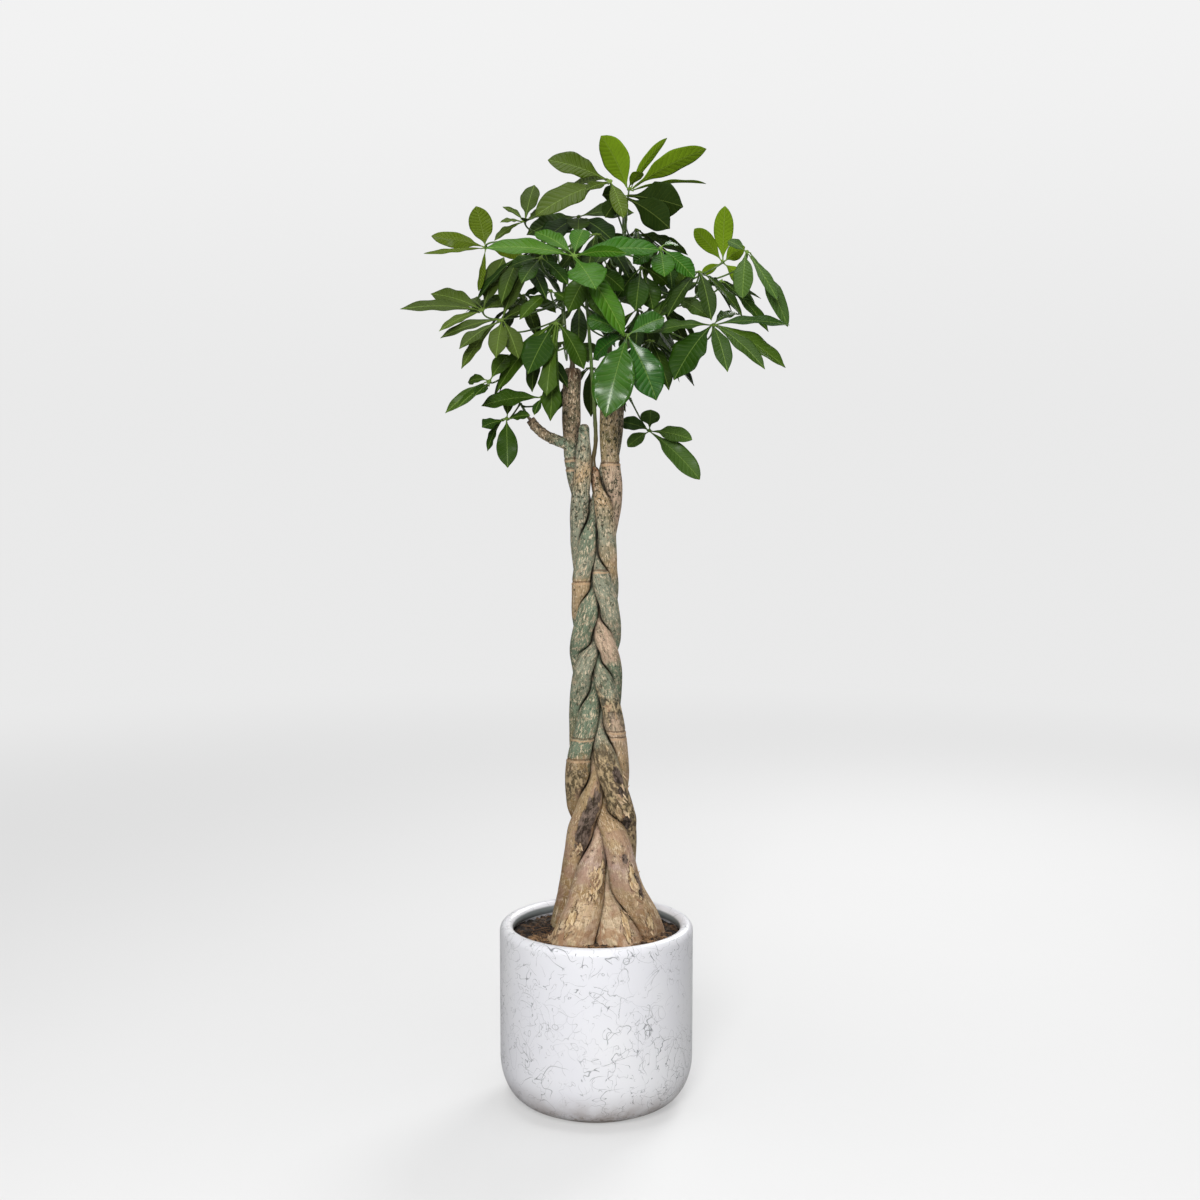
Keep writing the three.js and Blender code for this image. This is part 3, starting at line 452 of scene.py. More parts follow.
# Leaves: the shoot and how far up it each is carried, the hub where its leaflets meet, the way
# its blades face, its kind, and for each leaflet its tip from the hub (right, back, up), its width,
# and a roll in degrees if it has one.
Leaf = namedtuple("Leaf", "name shoot at hub face kind leaflets")
LEAVES = [
    Leaf("top_right", 3, 1, (55, 0, 1585), (0, 7, 7), "young", [
        (-47, 10, 90, 50), (130, -10, 65, 42), (65, 20, 88, 18), (135, 75, 20, 30, 40),
        (20, -55, 20, 20),
    ]),
    Leaf("top_left", 3, 0.85, (24, -45, 1592), (0, -8, 6), "fresh", [
        (-104, -5, 33, 50), (-122, -72, -66, 50), (-75, 90, -2, 32), (-40, -50, -22, 22),
        (21, -50, -67, 28),
    ]),
    Leaf("left_crest", 1, 0.95, (-120, -20, 1530), (0, -5, 8), "olive", [
        (15, 40, 65, 32), (15, -60, -5, 28), (-40, 50, 30, 14), (-40, -20, -5, 16), (-50, -20, -35, 20),
        (45, 50, 20, 28),
    ]),
    Leaf("far_left_high", 1, 0.8, (-185, -30, 1485), (0, 9, -3), "fresh", [
        (-18, 30, 72, 40), (-92, 10, 20, 28), (-102, -20, -12, 18, 40), (-10, -30, -75, 16, 40),
        (60, 30, -10, 24),
    ]),
    Leaf("front_high", 2, 1, (-35, -190, 1455), (0, -8, 7), "bright", [
        (-140, -10, 10, 36), (-65, 70, 45, 32), (15, 80, 50, 34), (82, -78, -5, 18, 50),
        (140, 20, 10, 44), (35, -80, -60, 62), (80, -30, -130, 38),
    ]),
    Leaf("far_left_low", 1, 0.45, (-190, -50, 1380), (0, -7, 6), "olive", [
        (-90, 40, 30, 36), (-135, -20, 0, 26), (-65, -80, -40, 18), (35, 30, 90, 38), (-35, 120, 25, 22),
        (65, 60, 12, 28),
    ]),
    Leaf("left_low", 1, 0.35, (-155, -100, 1360), (0, -6, 8), "olive", [
        (-100, -10, -30, 26), (-65, -60, -50, 28), (-65, -20, -80, 24), (-5, -80, -65, 32),
        (30, -50, -65, 32), (35, 40, 85, 30), (55, 50, 25, 28),
    ]),
    Leaf("left_drooping", 1, 0.3, (-175, -110, 1260), (0, -8, 2), "mature", [
        (30, 30, 45, 28), (-72, -10, -52, 18), (-50, -50, -45, 14), (-20, -60, -25, 18),
        (-40, 60, 0, 18),
    ]),
    Leaf("centre_hanging", 1, 0.3, (-65, -110, 1355), (0, -8, 5), "mature", [
        (-45, -50, -85, 50), (-15, -45, -120, 54), (-10, -10, -160, 44), (-100, 40, -110, 30),
        (45, 10, -75, 32),
    ]),
    Leaf("stub_low", 5, 1, (-150, -60, 1200), (0, -7, 6), "mature", [
        (-40, -20, -15, 34), (5, 10, 40, 18), (3, -30, -82, 36), (-35, 40, -55, 18), (40, -10, 5, 20),
    ]),
    Leaf("stub_high", 5, 0.8, (-90, -80, 1235), (0, -6, 7), "mature", [
        (-100, -10, -15, 42), (-12, -25, -30, 14), (20, 50, 35, 22),
    ]),
    Leaf("right_low", 6, 1, (92, 30, 1180), (0, -8, 4), "cool", [
        (2, 5, 36, 34), (72, -35, -16, 30), (86, -25, -84, 38), (-38, -20, -28, 24), (-50, 25, 15, 28),
    ]),
    Leaf("front_glossy", 2, 0.8, (50, -190, 1330), (0, -9, 4), "glossy", [
        (-35, -40, -130, 66), (46, -10, -103, 54), (60, 30, 30, 38), (-65, 40, 30, 40),
        (-55, 80, -35, 34),
    ]),
    Leaf("right_high", 4, 1, (215, 10, 1465), (0, 9, 2), "young", [
        (4, 10, 95, 34), (-50, -30, 52, 28), (40, 25, 28, 28), (35, -25, -40, 24), (-35, 15, -20, 16),
    ]),
    Leaf("far_right", 4, 0.95, (250, -60, 1475), (-2, -6, 6), "cool", [
        (-10, -40, -80, 34), (68, -10, -124, 28), (45, -60, -84, 20), (-30, 20, 20, 20),
    ]),
    Leaf("right_inner", 4, 0.55, (130, -10, 1405), (0, -6, 6), "mature", [
        (-5, 20, 50, 28), (60, -50, -40, 34), (-40, 30, 15, 28), (-30, -50, -40, 28), (35, 0, 55, 26),
    ]),
    Leaf("right_arching", 4, 0.8, (210, -20, 1430), (0, -5, 8), "mature", [
        (80, -10, -85, 28), (-35, -50, 5, 22), (15, 70, -25, 24), (-35, 20, -30, 26),
    ]),
    Leaf("right_front", 4, 0.6, (190, -140, 1350), (0, -5, 8), "mature", [
        (125, 15, 0, 32), (115, -20, -70, 42), (75, -90, -75, 30), (-65, -30, -90, 58),
        (15, -110, -80, 30), (-105, -10, -15, 36), (50, 100, 25, 28),
    ]),
    Leaf("right_shoulder", 3, 0.75, (105, -110, 1475), (0, -8, 5), "bright", [
        (5, -40, -50, 40), (55, -15, -50, 32), (35, 70, 10, 16), (-45, 0, -25, 30),
    ]),
    Leaf("under_top", 3, 0.75, (45, -28, 1570), (0, 9, 4), "shade", [
        (99, -30, -22, 60), (77, -35, -58, 50), (-35, 20, 4, 30), (-30, -20, -38, 30),
    ]),
    Leaf("dark_upper", 1, 0.9, (-30, 40, 1545), (0, -7, 6), "shade", [
        (-90, 10, -30, 44), (-62, -72, -55, 44), (60, -60, -50, 42), (95, 30, 10, 38), (0, -80, -35, 40),
    ]),
    Leaf("inner_right", 3, 0.45, (75, -50, 1450), (0, -9, 3), "mature", [
        (-10, -40, -75, 38), (20, 0, -70, 38), (-40, 0, -50, 32), (45, 30, -25, 30),
    ]),
    Leaf("inner_left", 2, 0.9, (-5, -150, 1440), (0, -9, 3), "mature", [
        (20, -40, -85, 44), (-40, 10, -70, 38), (25, 50, 30, 26), (50, 20, -35, 30),
    ]),
    Leaf("left_inner", 1, 0.6, (-90, -110, 1460), (0, -7, 6), "mature", [
        (-30, -40, -45, 30), (-50, 0, -15, 24), (45, -10, -45, 24), (25, 50, 25, 24),
    ]),
    Leaf("left_centre", 1, 0.4, (-75, -70, 1410), (0, -6, 7), "mature", [
        (-50, -40, -50, 26), (-45, 20, -5, 24), (30, -25, -20, 24), (-60, 30, 50, 26),
    ]),
]

# Leaves at the back and inside the crown: the shoot and how far up it, the hub, and the heading
# of the middle leaflet.
FAR_LEAVES = {
    "back": [
        (1, 0.75, (-70, 190, 1500), 110),
        (1, 0.5, (-130, 140, 1420), 150),
        (3, 0.8, (70, 170, 1530), 75),
        (3, 0.5, (10, 240, 1440), 95),
        (4, 0.7, (190, 160, 1445), 35),
        (4, 0.4, (90, 220, 1360), 65),
        (1, 0.2, (-60, 200, 1340), 115),
    ],
    "inside": [
        (3, 0.3, (-30, 90, 1400), -90),
        (4, 0.5, (110, 90, 1400), 100),
        (3, 0.7, (25, 110, 1490), 90),
        (3, 0.15, (-10, 100, 1290), 90),
        (1, 0.85, (-95, 60, 1500), 180),
        (1, 0.5, (-125, 65, 1410), 180),
        (3, 0.9, (70, 100, 1530), 20),
        (3, 0.6, (0, -45, 1505), -100),
        (4, 0.25, (90, -40, 1330), -70),
        (1, 0.7, (-125, -40, 1470), -110),
        (3, 0.3, (70, -40, 1380), -40),
        (4, 0.9, (170, -80, 1440), -80),
        (1, 0.15, (-100, 10, 1320), -150),
    ],
}

# They follow a plain fan: its kind, the leaflets' angles, the middle one's length, how much shorter
# the outer ones are, their width and their droop as shares of the length.
Fan = namedtuple("Fan", "kind angles length shorter width droop")
FANS = {
    "back": Fan("mature", (-100, -50, 0, 50, 100), 125, 0.3, 0.34, 0.3),
    # The inside fan takes the shade kind: painted shade.
    "inside": Fan("shade", (-110, -55, 0, 55, 110), 85, 0.2, 0.34, 1),
}
FAN_UPRIGHT = 3

# Each kind of leaf: the colours of its upper and under side, its roughness and gloss, the outline
# of its leaflets, how wavy they are and how plain the veins.
Look = namedtuple("Look", "upper under rough coat outline wave veins")
LEAF_KINDS = {
    "young": Look((0.088, 0.160, 0.005), (0.118, 0.200, 0.004), 0.62, 0.0, "round", 0.08, 0.5),
    "fresh": Look((0.046, 0.076, 0.001), (0.076, 0.118, 0.002), 0.52, 0.05, "round", 0.1, 1),
    "bright": Look((0.027, 0.115, 0.003), (0.08, 0.15, 0.012), 0.54, 0.08, "pointed", 0.14, 1),
    "glossy": Look((0.020, 0.092, 0.008), (0.06, 0.12, 0.012), 0.36, 0.4, "pointed", 0.18, 1),
    "mature": Look((0.016, 0.050, 0.001), (0.032, 0.068, 0.001), 0.58, 0.04, "pointed", 0.15, 0.5),
    "olive": Look((0.042, 0.068, 0.008), (0.050, 0.078, 0.007), 0.6, 0.02, "pointed", 0.14, 0.4),
    "cool": Look((0.042, 0.094, 0.015), (0.056, 0.100, 0.015), 0.56, 0.06, "round", 0.1, 0.6),
    # The shade kind is a darker copy for leaves deep in the crown and under others: painted shade.
    "shade": Look((0.010, 0.029, 0.001), (0.013, 0.028, 0.001), 0.6, 0.0, "pointed", 0.14, 0.4),
}
VEIN_PAIRS = 13
VEIN_SLANT = 0.13
VEIN_WAVER = 0.012
BLADE_DARK = (0.0, 0.01, 0.0)
BLADE_FRESH = (0.20, 0.30, 0.02)
UPPER_VEIN = (0.20, 0.30, 0.07)
UPPER_MIDRIB = (0.24, 0.36, 0.07)
LOWER_VEIN = (0.05, 0.065, 0.006)
LOWER_MIDRIB = (0.18, 0.24, 0.05)
BLEMISH = (0.16, 0.14, 0.03)

# The stage, in metres: the floor's tones, and those of the backdrop as seen and as it lights.
STAGE_RADIUS = 9
STAGE_HEIGHT = -0.0005
STAGE_SIDES = 96
STAGE_TONE = 0.82
PAPER_TONES = (0.80, 0.82)
BACKDROP_TONE = 0.89
FLOOR_GLOW = 0.5
FLOOR_BOUNCE = 0.42
FRONT_TONE = 0.4
SIDE_TONE = 0.05
UPPER_TONE = 0.18

# Lamps: name, place, aim, size and power.
LAMPS = [
    ("key", (-0.35, -3.5, 2.3), (0, 0, 0.8), 1.2, 130),
    ("top", (0, -0.2, 4.2), (0, 0, 0), 2.4, 66),
    ("back", (1.6, 2.8, 2.6), (0, 0, 1.0), 1.8, 85),
]
CAMERA_PLACE = (0.0064, -2.86695, 1.1725)
CAMERA_DIP = 5.6566
CAMERA_LENS = 50
CAMERA_SENSOR = 36


# Small tools for vectors and curves.


def unit(vectors):
    vectors = np.asarray(vectors, dtype=float)
    return vectors / np.linalg.norm(vectors, axis=-1, keepdims=True)


def fade(start, end, value):
    """0 before `start`, 1 after `end` and smooth between."""
    t = np.clip((value - start) / (end - start), 0, 1)
    return t * t * (3 - 2 * t)


def bulge(place, width, value):
    """1 at a place, and next to nothing two widths away."""
    return np.exp(-(((value - place) / width) ** 2))


def hermite(a, slope_a, b, slope_b, t):
    """From one value to another with a given slope at each end."""
    leaving = (a * (1 + 2 * t) + slope_a * t) * (1 - t) ** 2
    arriving = (b * (3 - 2 * t) - slope_b * (1 - t)) * t**2
    return leaving + arriving


def smooth_table(rows, column, z):
    """A smooth curve of one column through rows that are sorted by their first column."""
    table = np.array(rows, dtype=float)
    places, values = table[:, 0], table[:, column]
    secants = np.diff(values) / np.diff(places)
    slopes = np.empty_like(values)
    slopes[0], slopes[-1] = secants[0], secants[-1]
    slopes[1:-1] = (values[2:] - values[:-2]) / (places[2:] - places[:-2])
    z = np.clip(z, places[0], places[-1])
    i = np.clip(np.searchsorted(places, z, side="right") - 1, 0, len(places) - 2)
    width = places[i + 1] - places[i]
    t = (z - places[i]) / width
    return hermite(values[i], slopes[i] * width, values[i + 1], slopes[i + 1] * width, t)


def evenly(path, count):
    """The same path with its points at equal steps."""
    lengths = np.concatenate([[0], np.cumsum(np.linalg.norm(np.diff(path, axis=0), axis=1))])
    steps = np.linspace(0, lengths[-1], count)
    return np.stack([np.interp(steps, lengths, path[:, axis]) for axis in range(3)], axis=1)


def smooth_path(points, count):
    """Points at equal steps along a smooth curve through the given ones."""
    points = np.array(points, dtype=float)
    padded = np.vstack([2 * points[0] - points[1], points, 2 * points[-1] - points[-2]])
    t = np.linspace(0, 1, CURVE_STEPS, endpoint=False)[:, None]
    fine = []
    for p0, p1, p2, p3 in zip(padded, padded[1:], padded[2:], padded[3:]):
        d0, d1, d2 = (np.linalg.norm(b - a) ** 0.5 for a, b in ((p0, p1), (p1, p2), (p2, p3)))
        slope1 = ((p1 - p0) / d0 - (p2 - p0) / (d0 + d1) + (p2 - p1) / d1) * d1
        slope2 = ((p2 - p1) / d1 - (p3 - p1) / (d1 + d2) + (p3 - p2) / d2) * d1
        fine.append(hermite(p1, slope1, p2, slope2, t))
    return evenly(np.vstack(fine + [points[-1:]]), count)


def bezier(start, bend, end, t):
    t = np.asarray(t, dtype=float)[:, None]
    return start * (1 - t) ** 2 + 2 * bend * t * (1 - t) + end * t * t


def bezier_way(start, bend, end, t):
    t = np.asarray(t, dtype=float)[:, None]
    return unit(2 * (1 - t) * (bend - start) + 2 * t * (end - bend))


def point_at(path, share):
    """The point a share of the way along a path that has equal steps."""
    place = share * (len(path) - 1)
    i = min(int(place), len(path) - 2)
    return path[i] + (path[i + 1] - path[i]) * (place - i)


# Rings of points, and skins over them.


def bearings(sides):
    return np.linspace(0, TURN, sides, endpoint=False)


def tube(path, radii, sides):
    """Rings round a path, each turned as little as possible from the one before."""
    path = np.asarray(path, dtype=float)
    ways = unit(np.gradient(path, axis=0))
    upright = (0, 0, 1) if abs(ways[0][2]) < STEEP else (0, 1, 0)
    side = np.cross(ways[0], upright)
    angles = bearings(sides)[:, None]
    rings = []
    for point, way, radius in zip(path, ways, np.broadcast_to(radii, len(path))):
        side = unit(side - way * side.dot(way))
        up = np.cross(way, side)
        rings.append(point + radius * (np.cos(angles) * side + np.sin(angles) * up))
    return np.array(rings)


def turned_rings(profile, sides):
    """Rings round the upright axis through each point of a profile."""
    angles = bearings(sides)
    profile = np.array(profile, dtype=float)
    radius, height = profile[:, :1], profile[:, 1:]
    return np.stack([radius * np.cos(angles), radius * np.sin(angles), height + 0 * angles], axis=-1)


def raised(flat, heights):
    """Flat rings, each at a height of its own."""
    heights = np.broadcast_to(heights[:, None, None], (*flat.shape[:2], 1))
    return np.concatenate([flat, heights], axis=-1)


def ribbon(middle, left, normal, half, lift, thickness):
    """Rings round a thin blade: over its upper face from the left edge, and back under it."""
    left = np.broadcast_to(left, middle.shape)[:, None]
    normal = np.broadcast_to(normal, middle.shape)[:, None]
    flat = middle[:, None] + left * (BLADE_COLUMNS * half[:, None])[..., None] + normal * lift[..., None]
    rise = normal * (np.asarray(thickness) / 2)[:, None, None]
    return np.concatenate([(flat + rise)[:, ::-1], flat - rise], axis=1)


def skin(rings, **marks):
    """A closed skin over rings of points. Each mark is three numbers for every point."""
    rows, columns, _ = rings.shape

    def flat(values):
        values = np.broadcast_to(values, rings.shape)
        return np.concatenate([values.reshape(-1, 3), values[:1].mean(axis=1), values[-1:].mean(axis=1)])

    around = np.arange(columns)
    following = (around + 1) % columns
    steps = np.arange(rows - 1)[:, None] * columns
    a, b = steps + around, steps + following
    walls = np.stack([a, b, b + columns, a + columns], axis=-1).reshape(-1, 4)
    last = (rows - 1) * columns
    foot_middle = np.full(columns, rows * columns)
    foot = np.stack([following, around, foot_middle], axis=1)
    head = np.stack([last + around, last + following, foot_middle + 1], axis=1)
    return {
        "points": flat(rings),
        "faces": walls.tolist() + foot.tolist() + head.tolist(),
        "marks": {key: flat(value) for key, value in marks.items()},
    }


def make_piece(name, parts, material, slot, *nodes):
    """One smooth object from several skins, which rides on the plant and replaces its CAD nodes."""
    points, faces, count = [], [], 0
    for part in parts:
        faces.extend([[corner + count for corner in face] for face in part["faces"]])
        points.append(part["points"])
        count += len(part["points"])
    mesh = bpy.data.meshes.new(name)
    mesh.from_pydata((np.concatenate(points) * MM).tolist(), [], faces)
    mesh.polygons.foreach_set("use_smooth", np.ones(len(mesh.polygons), dtype=bool))
    for key in parts[0]["marks"]:
        layer = mesh.attributes.new(key, "FLOAT_VECTOR", "POINT")
        layer.data.foreach_set("vector", np.concatenate([part["marks"][key] for part in parts]).ravel())
    mesh.update()
    piece = bpy.data.objects.new(name, mesh)
    bpy.context.scene.collection.objects.link(piece)
    piece.data.materials.append(material)
    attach(piece, "root")
    if nodes:
        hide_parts(*nodes)
    return piece


# Materials.


class Value:
    """What a node gives out. Arithmetic with it makes further nodes."""

    def __init__(self, paint, socket):
        self.paint = paint
        self.socket = socket

    def __add__(self, other):
        return self.paint.maths("ADD", self, other)

    def __sub__(self, other):
        return self.paint.maths("SUBTRACT", self, other)

    def __rsub__(self, other):
        return self.paint.maths("SUBTRACT", other, self)

    def __mul__(self, other):
        return self.paint.maths("MULTIPLY", self, other)

    def __pow__(self, other):
        return self.paint.maths("POWER", self, other)

    def __abs__(self):
        return self.paint.maths("ABSOLUTE", self)

    def ramp(self, low, high):
        """0 before `low`, 1 after `high` and smooth between; the two may be swapped."""
        inputs = {"Value": self, "From Min": low, "From Max": high}
        return self.paint.put("MapRange", inputs, "Result", interpolation_type="SMOOTHSTEP")


class Paint:
    """A material in the making, with the colour and the bumps that it has so far."""

    def __init__(self, name, shelf=bpy.data.materials):
        self.material = shelf.new(name)
        self.material.use_nodes = True
        self.tree = self.material.node_tree
        self.shader = self.tree.nodes.get("Principled BSDF")
        self.colour = None
        self.normal = None

    def feed(self, socket, value):
        if isinstance(value, Value):
            self.tree.links.new(value.socket, socket)
        elif socket.type == "RGBA":
            socket.default_value = (*value, 1)
        else:
            socket.default_value = value

    def put(self, kind, inputs, output=0, **settings):
        """Adds a node, feeds its inputs and hands back one of its outputs."""
        node = self.tree.nodes.new("ShaderNode" + kind)
        for key, value in settings.items():
            setattr(node, key, value)
        for key, value in inputs.items():
            self.feed(node.inputs[key], value)
        return Value(self, node.outputs[output])

    def maths(self, operation, *values):
        return self.put("Math", dict(enumerate(values)), operation=operation)

    def vectors(self, operation, *values, output=0):
        return self.put("VectorMath", dict(enumerate(values)), output, operation=operation)

    def mix(self, share, a, b):
        return self.put("Mix", {0: share, 6: a, 7: b}, 2, data_type="RGBA")

    def coat(self, share, colour):
        """Lays a colour over the one so far, where and as strongly as `share` says."""
        self.colour = self.mix(share, self.colour, colour)

    def place(self):
        return self.put("TexCoord", {}, "Object")

    def mark(self, name):
        return self.put("Attribute", {}, "Vector", attribute_name=name)

    def marks(self, name):
        """The three numbers of a mark that the skins carry."""
        return self.split(self.mark(name))

    def seen(self):
        """1 for what the viewer sees, 0 for what lights the plant."""
        return self.put("LightPath", {}, "Is Camera Ray")

    def split(self, vector):
        first = self.put("SeparateXYZ", {0: vector})
        return [Value(self, socket) for socket in first.socket.node.outputs]

    def noise(self, place, scale, detail=3, roughness=0.55, stretch=None, shift=None, output="Fac", **more):
        """Cloudy noise over a place, which may be stretched and shifted first."""
        if stretch:
            place = self.vectors("MULTIPLY", place, stretch)
        if shift:
            place = self.vectors("ADD", place, shift)
        inputs = {"Vector": place, "Scale": scale, "Detail": detail, "Roughness": roughness, **more}
        return self.put("TexNoise", inputs, output)

    def cells(self, place, scale):
        """How far it is to the edge of the cell."""
        inputs = {"Vector": place, "Scale": scale}
        return self.put("TexVoronoi", inputs, "Distance", feature="DISTANCE_TO_EDGE")

    def bands(self, value, low, high, stops):
        """A colour ramp with its stops at heights between `low` and `high`."""
        bands = self.put("ValToRGB", {0: self.maths("DIVIDE", value - low, high - low)})
        ramp = bands.socket.node.color_ramp
        ramp.interpolation = "EASE"
        ramp.elements.remove(ramp.elements[1])
        for i, (height, colour) in enumerate(stops):
            place = (height - low) / (high - low)
            element = ramp.elements.new(place) if i else ramp.elements[0]
            element.position = place
            element.color = (*colour, 1)
        return bands

    def bump(self, height, strength, depth):
        """Raises the surface where `height` is high, on top of the bumps so far."""
        inputs = {"Height": height, "Strength": strength, "Distance": depth}
        if self.normal:
            inputs["Normal"] = self.normal
        self.normal = self.put("Bump", inputs)

    def finish(self, roughness, **constants):
        self.feed(self.shader.inputs["Base Color"], self.colour)
        self.feed(self.shader.inputs["Roughness"], roughness)
        if self.normal:
            self.feed(self.shader.inputs["Normal"], self.normal)
        for key, value in constants.items():
            self.shader.inputs[key.replace("_", " ")].default_value = value
        return self.material


def hairlines(paint, place, scale, width, seed):
    """Fine curved lines, like hairs laid over a surface, broken up into loose clusters."""
    moved = paint.vectors("ADD", place, (seed, seed * 0.7, seed * 0.3))
    wander = paint.noise(moved, scale, detail=2, roughness=0.5, Distortion=0.6)
    patches = paint.noise(moved, scale * 1.1, detail=1).ramp(0.5, 0.56)
    return abs(wander - 0.5).ramp(width, 0) * patches


def glaze_lines(paint, place):
    """Hairlines of several sizes and a net of cracks, thicker in some places than in others."""
    lines = 0
    for scale, width, seed in HAIRLINES:
        lines = paint.maths("MAXIMUM", lines, hairlines(paint, place, scale, width, seed))
    drift = paint.vectors("MULTIPLY", paint.noise(place, 22, detail=4, output="Color"), (0.05, 0.05, 0.05))
    crack = paint.cells(paint.vectors("ADD", place, drift), 18).ramp(0.014, 0)
    patch = paint.noise(place, 11, shift=(5, 0, 0)).ramp(0.54, 0.6)
    clusters = paint.noise(place, 7, detail=2).ramp(0.38, 0.6)
    return paint.maths("MAXIMUM", lines, crack * patch) * (clusters * 0.6 + 0.4)


def glaze_towards_foot(paint, place, height):
    """Darker, browner glaze and brown specks towards the foot, a brown line of painted shade over it, and
    the foot's bare clay.
    """
    low_mottle = paint.noise(place, 26, detail=5).ramp(0.3, 0.66)
    # Darker and browner towards the foot, in blotches.
    paint.coat(height.ramp(*FOOT_DARKENING_ZONE) * (low_mottle * 0.65 + 0.35) * 0.75, FOOT_DARKENING)
    speckle = paint.noise(place, 150, detail=4).ramp(0.54, 0.62)
    paint.coat(speckle * height.ramp(*SPECKLE_ZONE) * 0.7, SPECKLE)
    # A brown line of painted shade just above the foot.
    shade_line = abs(height - SHADE_LINE_HEIGHT).ramp(*SHADE_LINE_ZONE)
    paint.coat(shade_line * (low_mottle * 0.5 + 0.35), SHADE_LINE_BROWN)
    paint.coat(height.ramp(*FOOT_ZONE), FOOT_CLAY)


def glaze():
    """Satin white glaze with grey hairlines, painted shade inside the rim and over the foot, and darker and
    browner towards the foot.
    """
    paint = Paint("white_glaze")
    place = paint.place()
    height = paint.split(place)[2] * PER_METRE
    radius = paint.vectors("LENGTH", paint.vectors("MULTIPLY", place, (1, 1, 0)), output="Value") * PER_METRE
    paint.colour = paint.mix(paint.noise(place, 5).ramp(0.35, 0.7), *GLAZE_WHITES)
    lines = glaze_lines(paint, place)
    paint.coat(lines * 0.85, HAIRLINE_GREY)
    glaze_towards_foot(paint, place, height)
    # Painted shade inside the rim and on the inner wall.
    inside = radius.ramp(*INSIDE_RADIUS) * height.ramp(*INSIDE_TOP) * height.ramp(*INSIDE_FLOOR)
    paint.coat(inside, INSIDE_SHADE)
    paint.bump(paint.noise(place, 60, detail=2), 0.05, 0.002)
    paint.bump(lines, 0.25, -0.0004)
    return paint.finish(paint.noise(place, 40, detail=2) * 0.12 + 0.3, Coat_Weight=0.25, Coat_Roughness=0.2)


def earth():
    """Dark crumbly potting mix."""
    paint = Paint("potting_mix")
    place = paint.place()
    crumbs = paint.noise(place, 190, detail=6, roughness=0.7)
    paint.colour = paint.mix(crumbs.ramp(0.35, 0.7), *SOIL_DARKS)
    paint.coat(paint.noise(place, 420, detail=2).ramp(0.62, 0.72) * 0.5, SOIL_SPECK)
    paint.bump(crumbs, 0.9, 0.004)
    return paint.finish(0.95)


def chippings():
    """Bark chips in the soil, each of its own shade of brown."""
    paint = Paint("bark_chips")
    grain = paint.noise(paint.place(), 260, detail=4, stretch=(1, 1, 0.3))
    paint.colour = paint.mix(paint.marks("shade")[0], *CHIP_BROWNS)
    paint.coat(grain.ramp(0.3, 0.7) * 0.6, CHIP_GRAIN)
    paint.bump(grain, 0.6, 0.001)
    return paint.finish(0.9)


def fibres():
    """Coconut fibres, from orange tan to reddish brown."""
    paint = Paint("coir_fibres")
    mottle = paint.noise(paint.place(), 300, detail=2)
    paint.colour = paint.mix(paint.marks("shade")[0], *FIBRE_BROWNS)
    paint.coat(mottle * 0.4, FIBRE_MOTTLE)
    paint.bump(mottle, 0.3, 0.0005)
    return paint.finish(0.85)


def bark_grain(paint, around, high, low, warm):
    """Clouds and pale patches, and the fine grain: streaks, pale flecks and dark specks."""
    cloud = paint.noise(around, 70, detail=5, roughness=0.68, stretch=(1, 1, 0.5))
    paint.coat(cloud.ramp(0.48, 0.62) * 0.55, paint.mix(warm, *CLOUDS))
    patches = paint.noise(around, 58, detail=6, roughness=0.75)
    paint.coat(patches.ramp(0.55, 0.6) * 0.55, PATCH)
    streaks = paint.noise(around, 380, detail=4, roughness=0.65, stretch=(1, 1, 0.1))
    paint.coat(streaks.ramp(0.53, 0.61) * 0.45, paint.mix(warm, *STREAKS))
    fleck = paint.noise(around, 400, detail=4, roughness=0.7, stretch=(1, 1, 0.32)).ramp(0.55, 0.59)
    paint.coat(fleck * 0.85, FLECK)
    crowd = high * MORE_SPECKS + low * FEWER_SPECKS
    speck = paint.noise(around, 210, detail=5, roughness=0.72, stretch=(1, 1, 0.8), shift=(3, 1, 2))
    speck = (speck + crowd).ramp(0.585, 0.62)
    paint.coat(speck * 0.88, SPECK)
    paint.bump(streaks + fleck * 0.4, 0.5, 0.0022)
    return streaks, speck


def old_bark(paint, around, rise, low, warm):
    """The lower trunks: dark hoops, pale strands, moss, a reddish bloom, peeling and a rusty foot."""
    hoops = paint.noise(around, 420, stretch=(0.25, 0.25, 1)).ramp(0.58, 0.64)
    paint.coat(hoops * low * 0.55, HOOP)
    strands = paint.noise(around, 330, detail=4, stretch=(1, 1, 0.05)).ramp(0.52, 0.62)
    calm = paint.noise(around, 26, shift=(1, 8, 3)).ramp(0.42, 0.56)
    paint.coat(strands * low * calm * 0.65, STRAND)
    moss = paint.noise(around, 17, detail=4, shift=(6, 1, 5)).ramp(0.48, 0.6)
    paint.coat(moss * warm * 0.4, MOSS)
    bloom = paint.noise(around, 30, shift=(4, 2, 9)).ramp(0.5, 0.6)
    paint.coat(bloom * warm * 0.45, BLOOM)
    peeled = paint.noise(around, 120, detail=5, roughness=0.7, stretch=(1, 1, 0.16), shift=(7, 5, 1))
    peeled = peeled.ramp(0.6, 0.63) * low
    paint.coat(peeled * 0.85, PEEL)
    rust = paint.noise(around, 65, detail=5).ramp(0.46, 0.58)
    paint.coat(rise.ramp(*RUST_ZONE) * rust * 0.6, RUSTY_FOOT)
    paint.bump(peeled, 0.8, 0.0015)


def ring_marks(paint, wavy, rings):
    """A pale line and a brown one over it at each ring scar."""
    for ring in rings:
        paint.coat(abs(wavy - ring).ramp(*PALE_RING_ZONE) * 0.75, PALE_RING)
        paint.coat(abs(wavy - (ring + DARK_RING_RISE)).ramp(*DARK_RING_ZONE) * 0.7, BROWN)


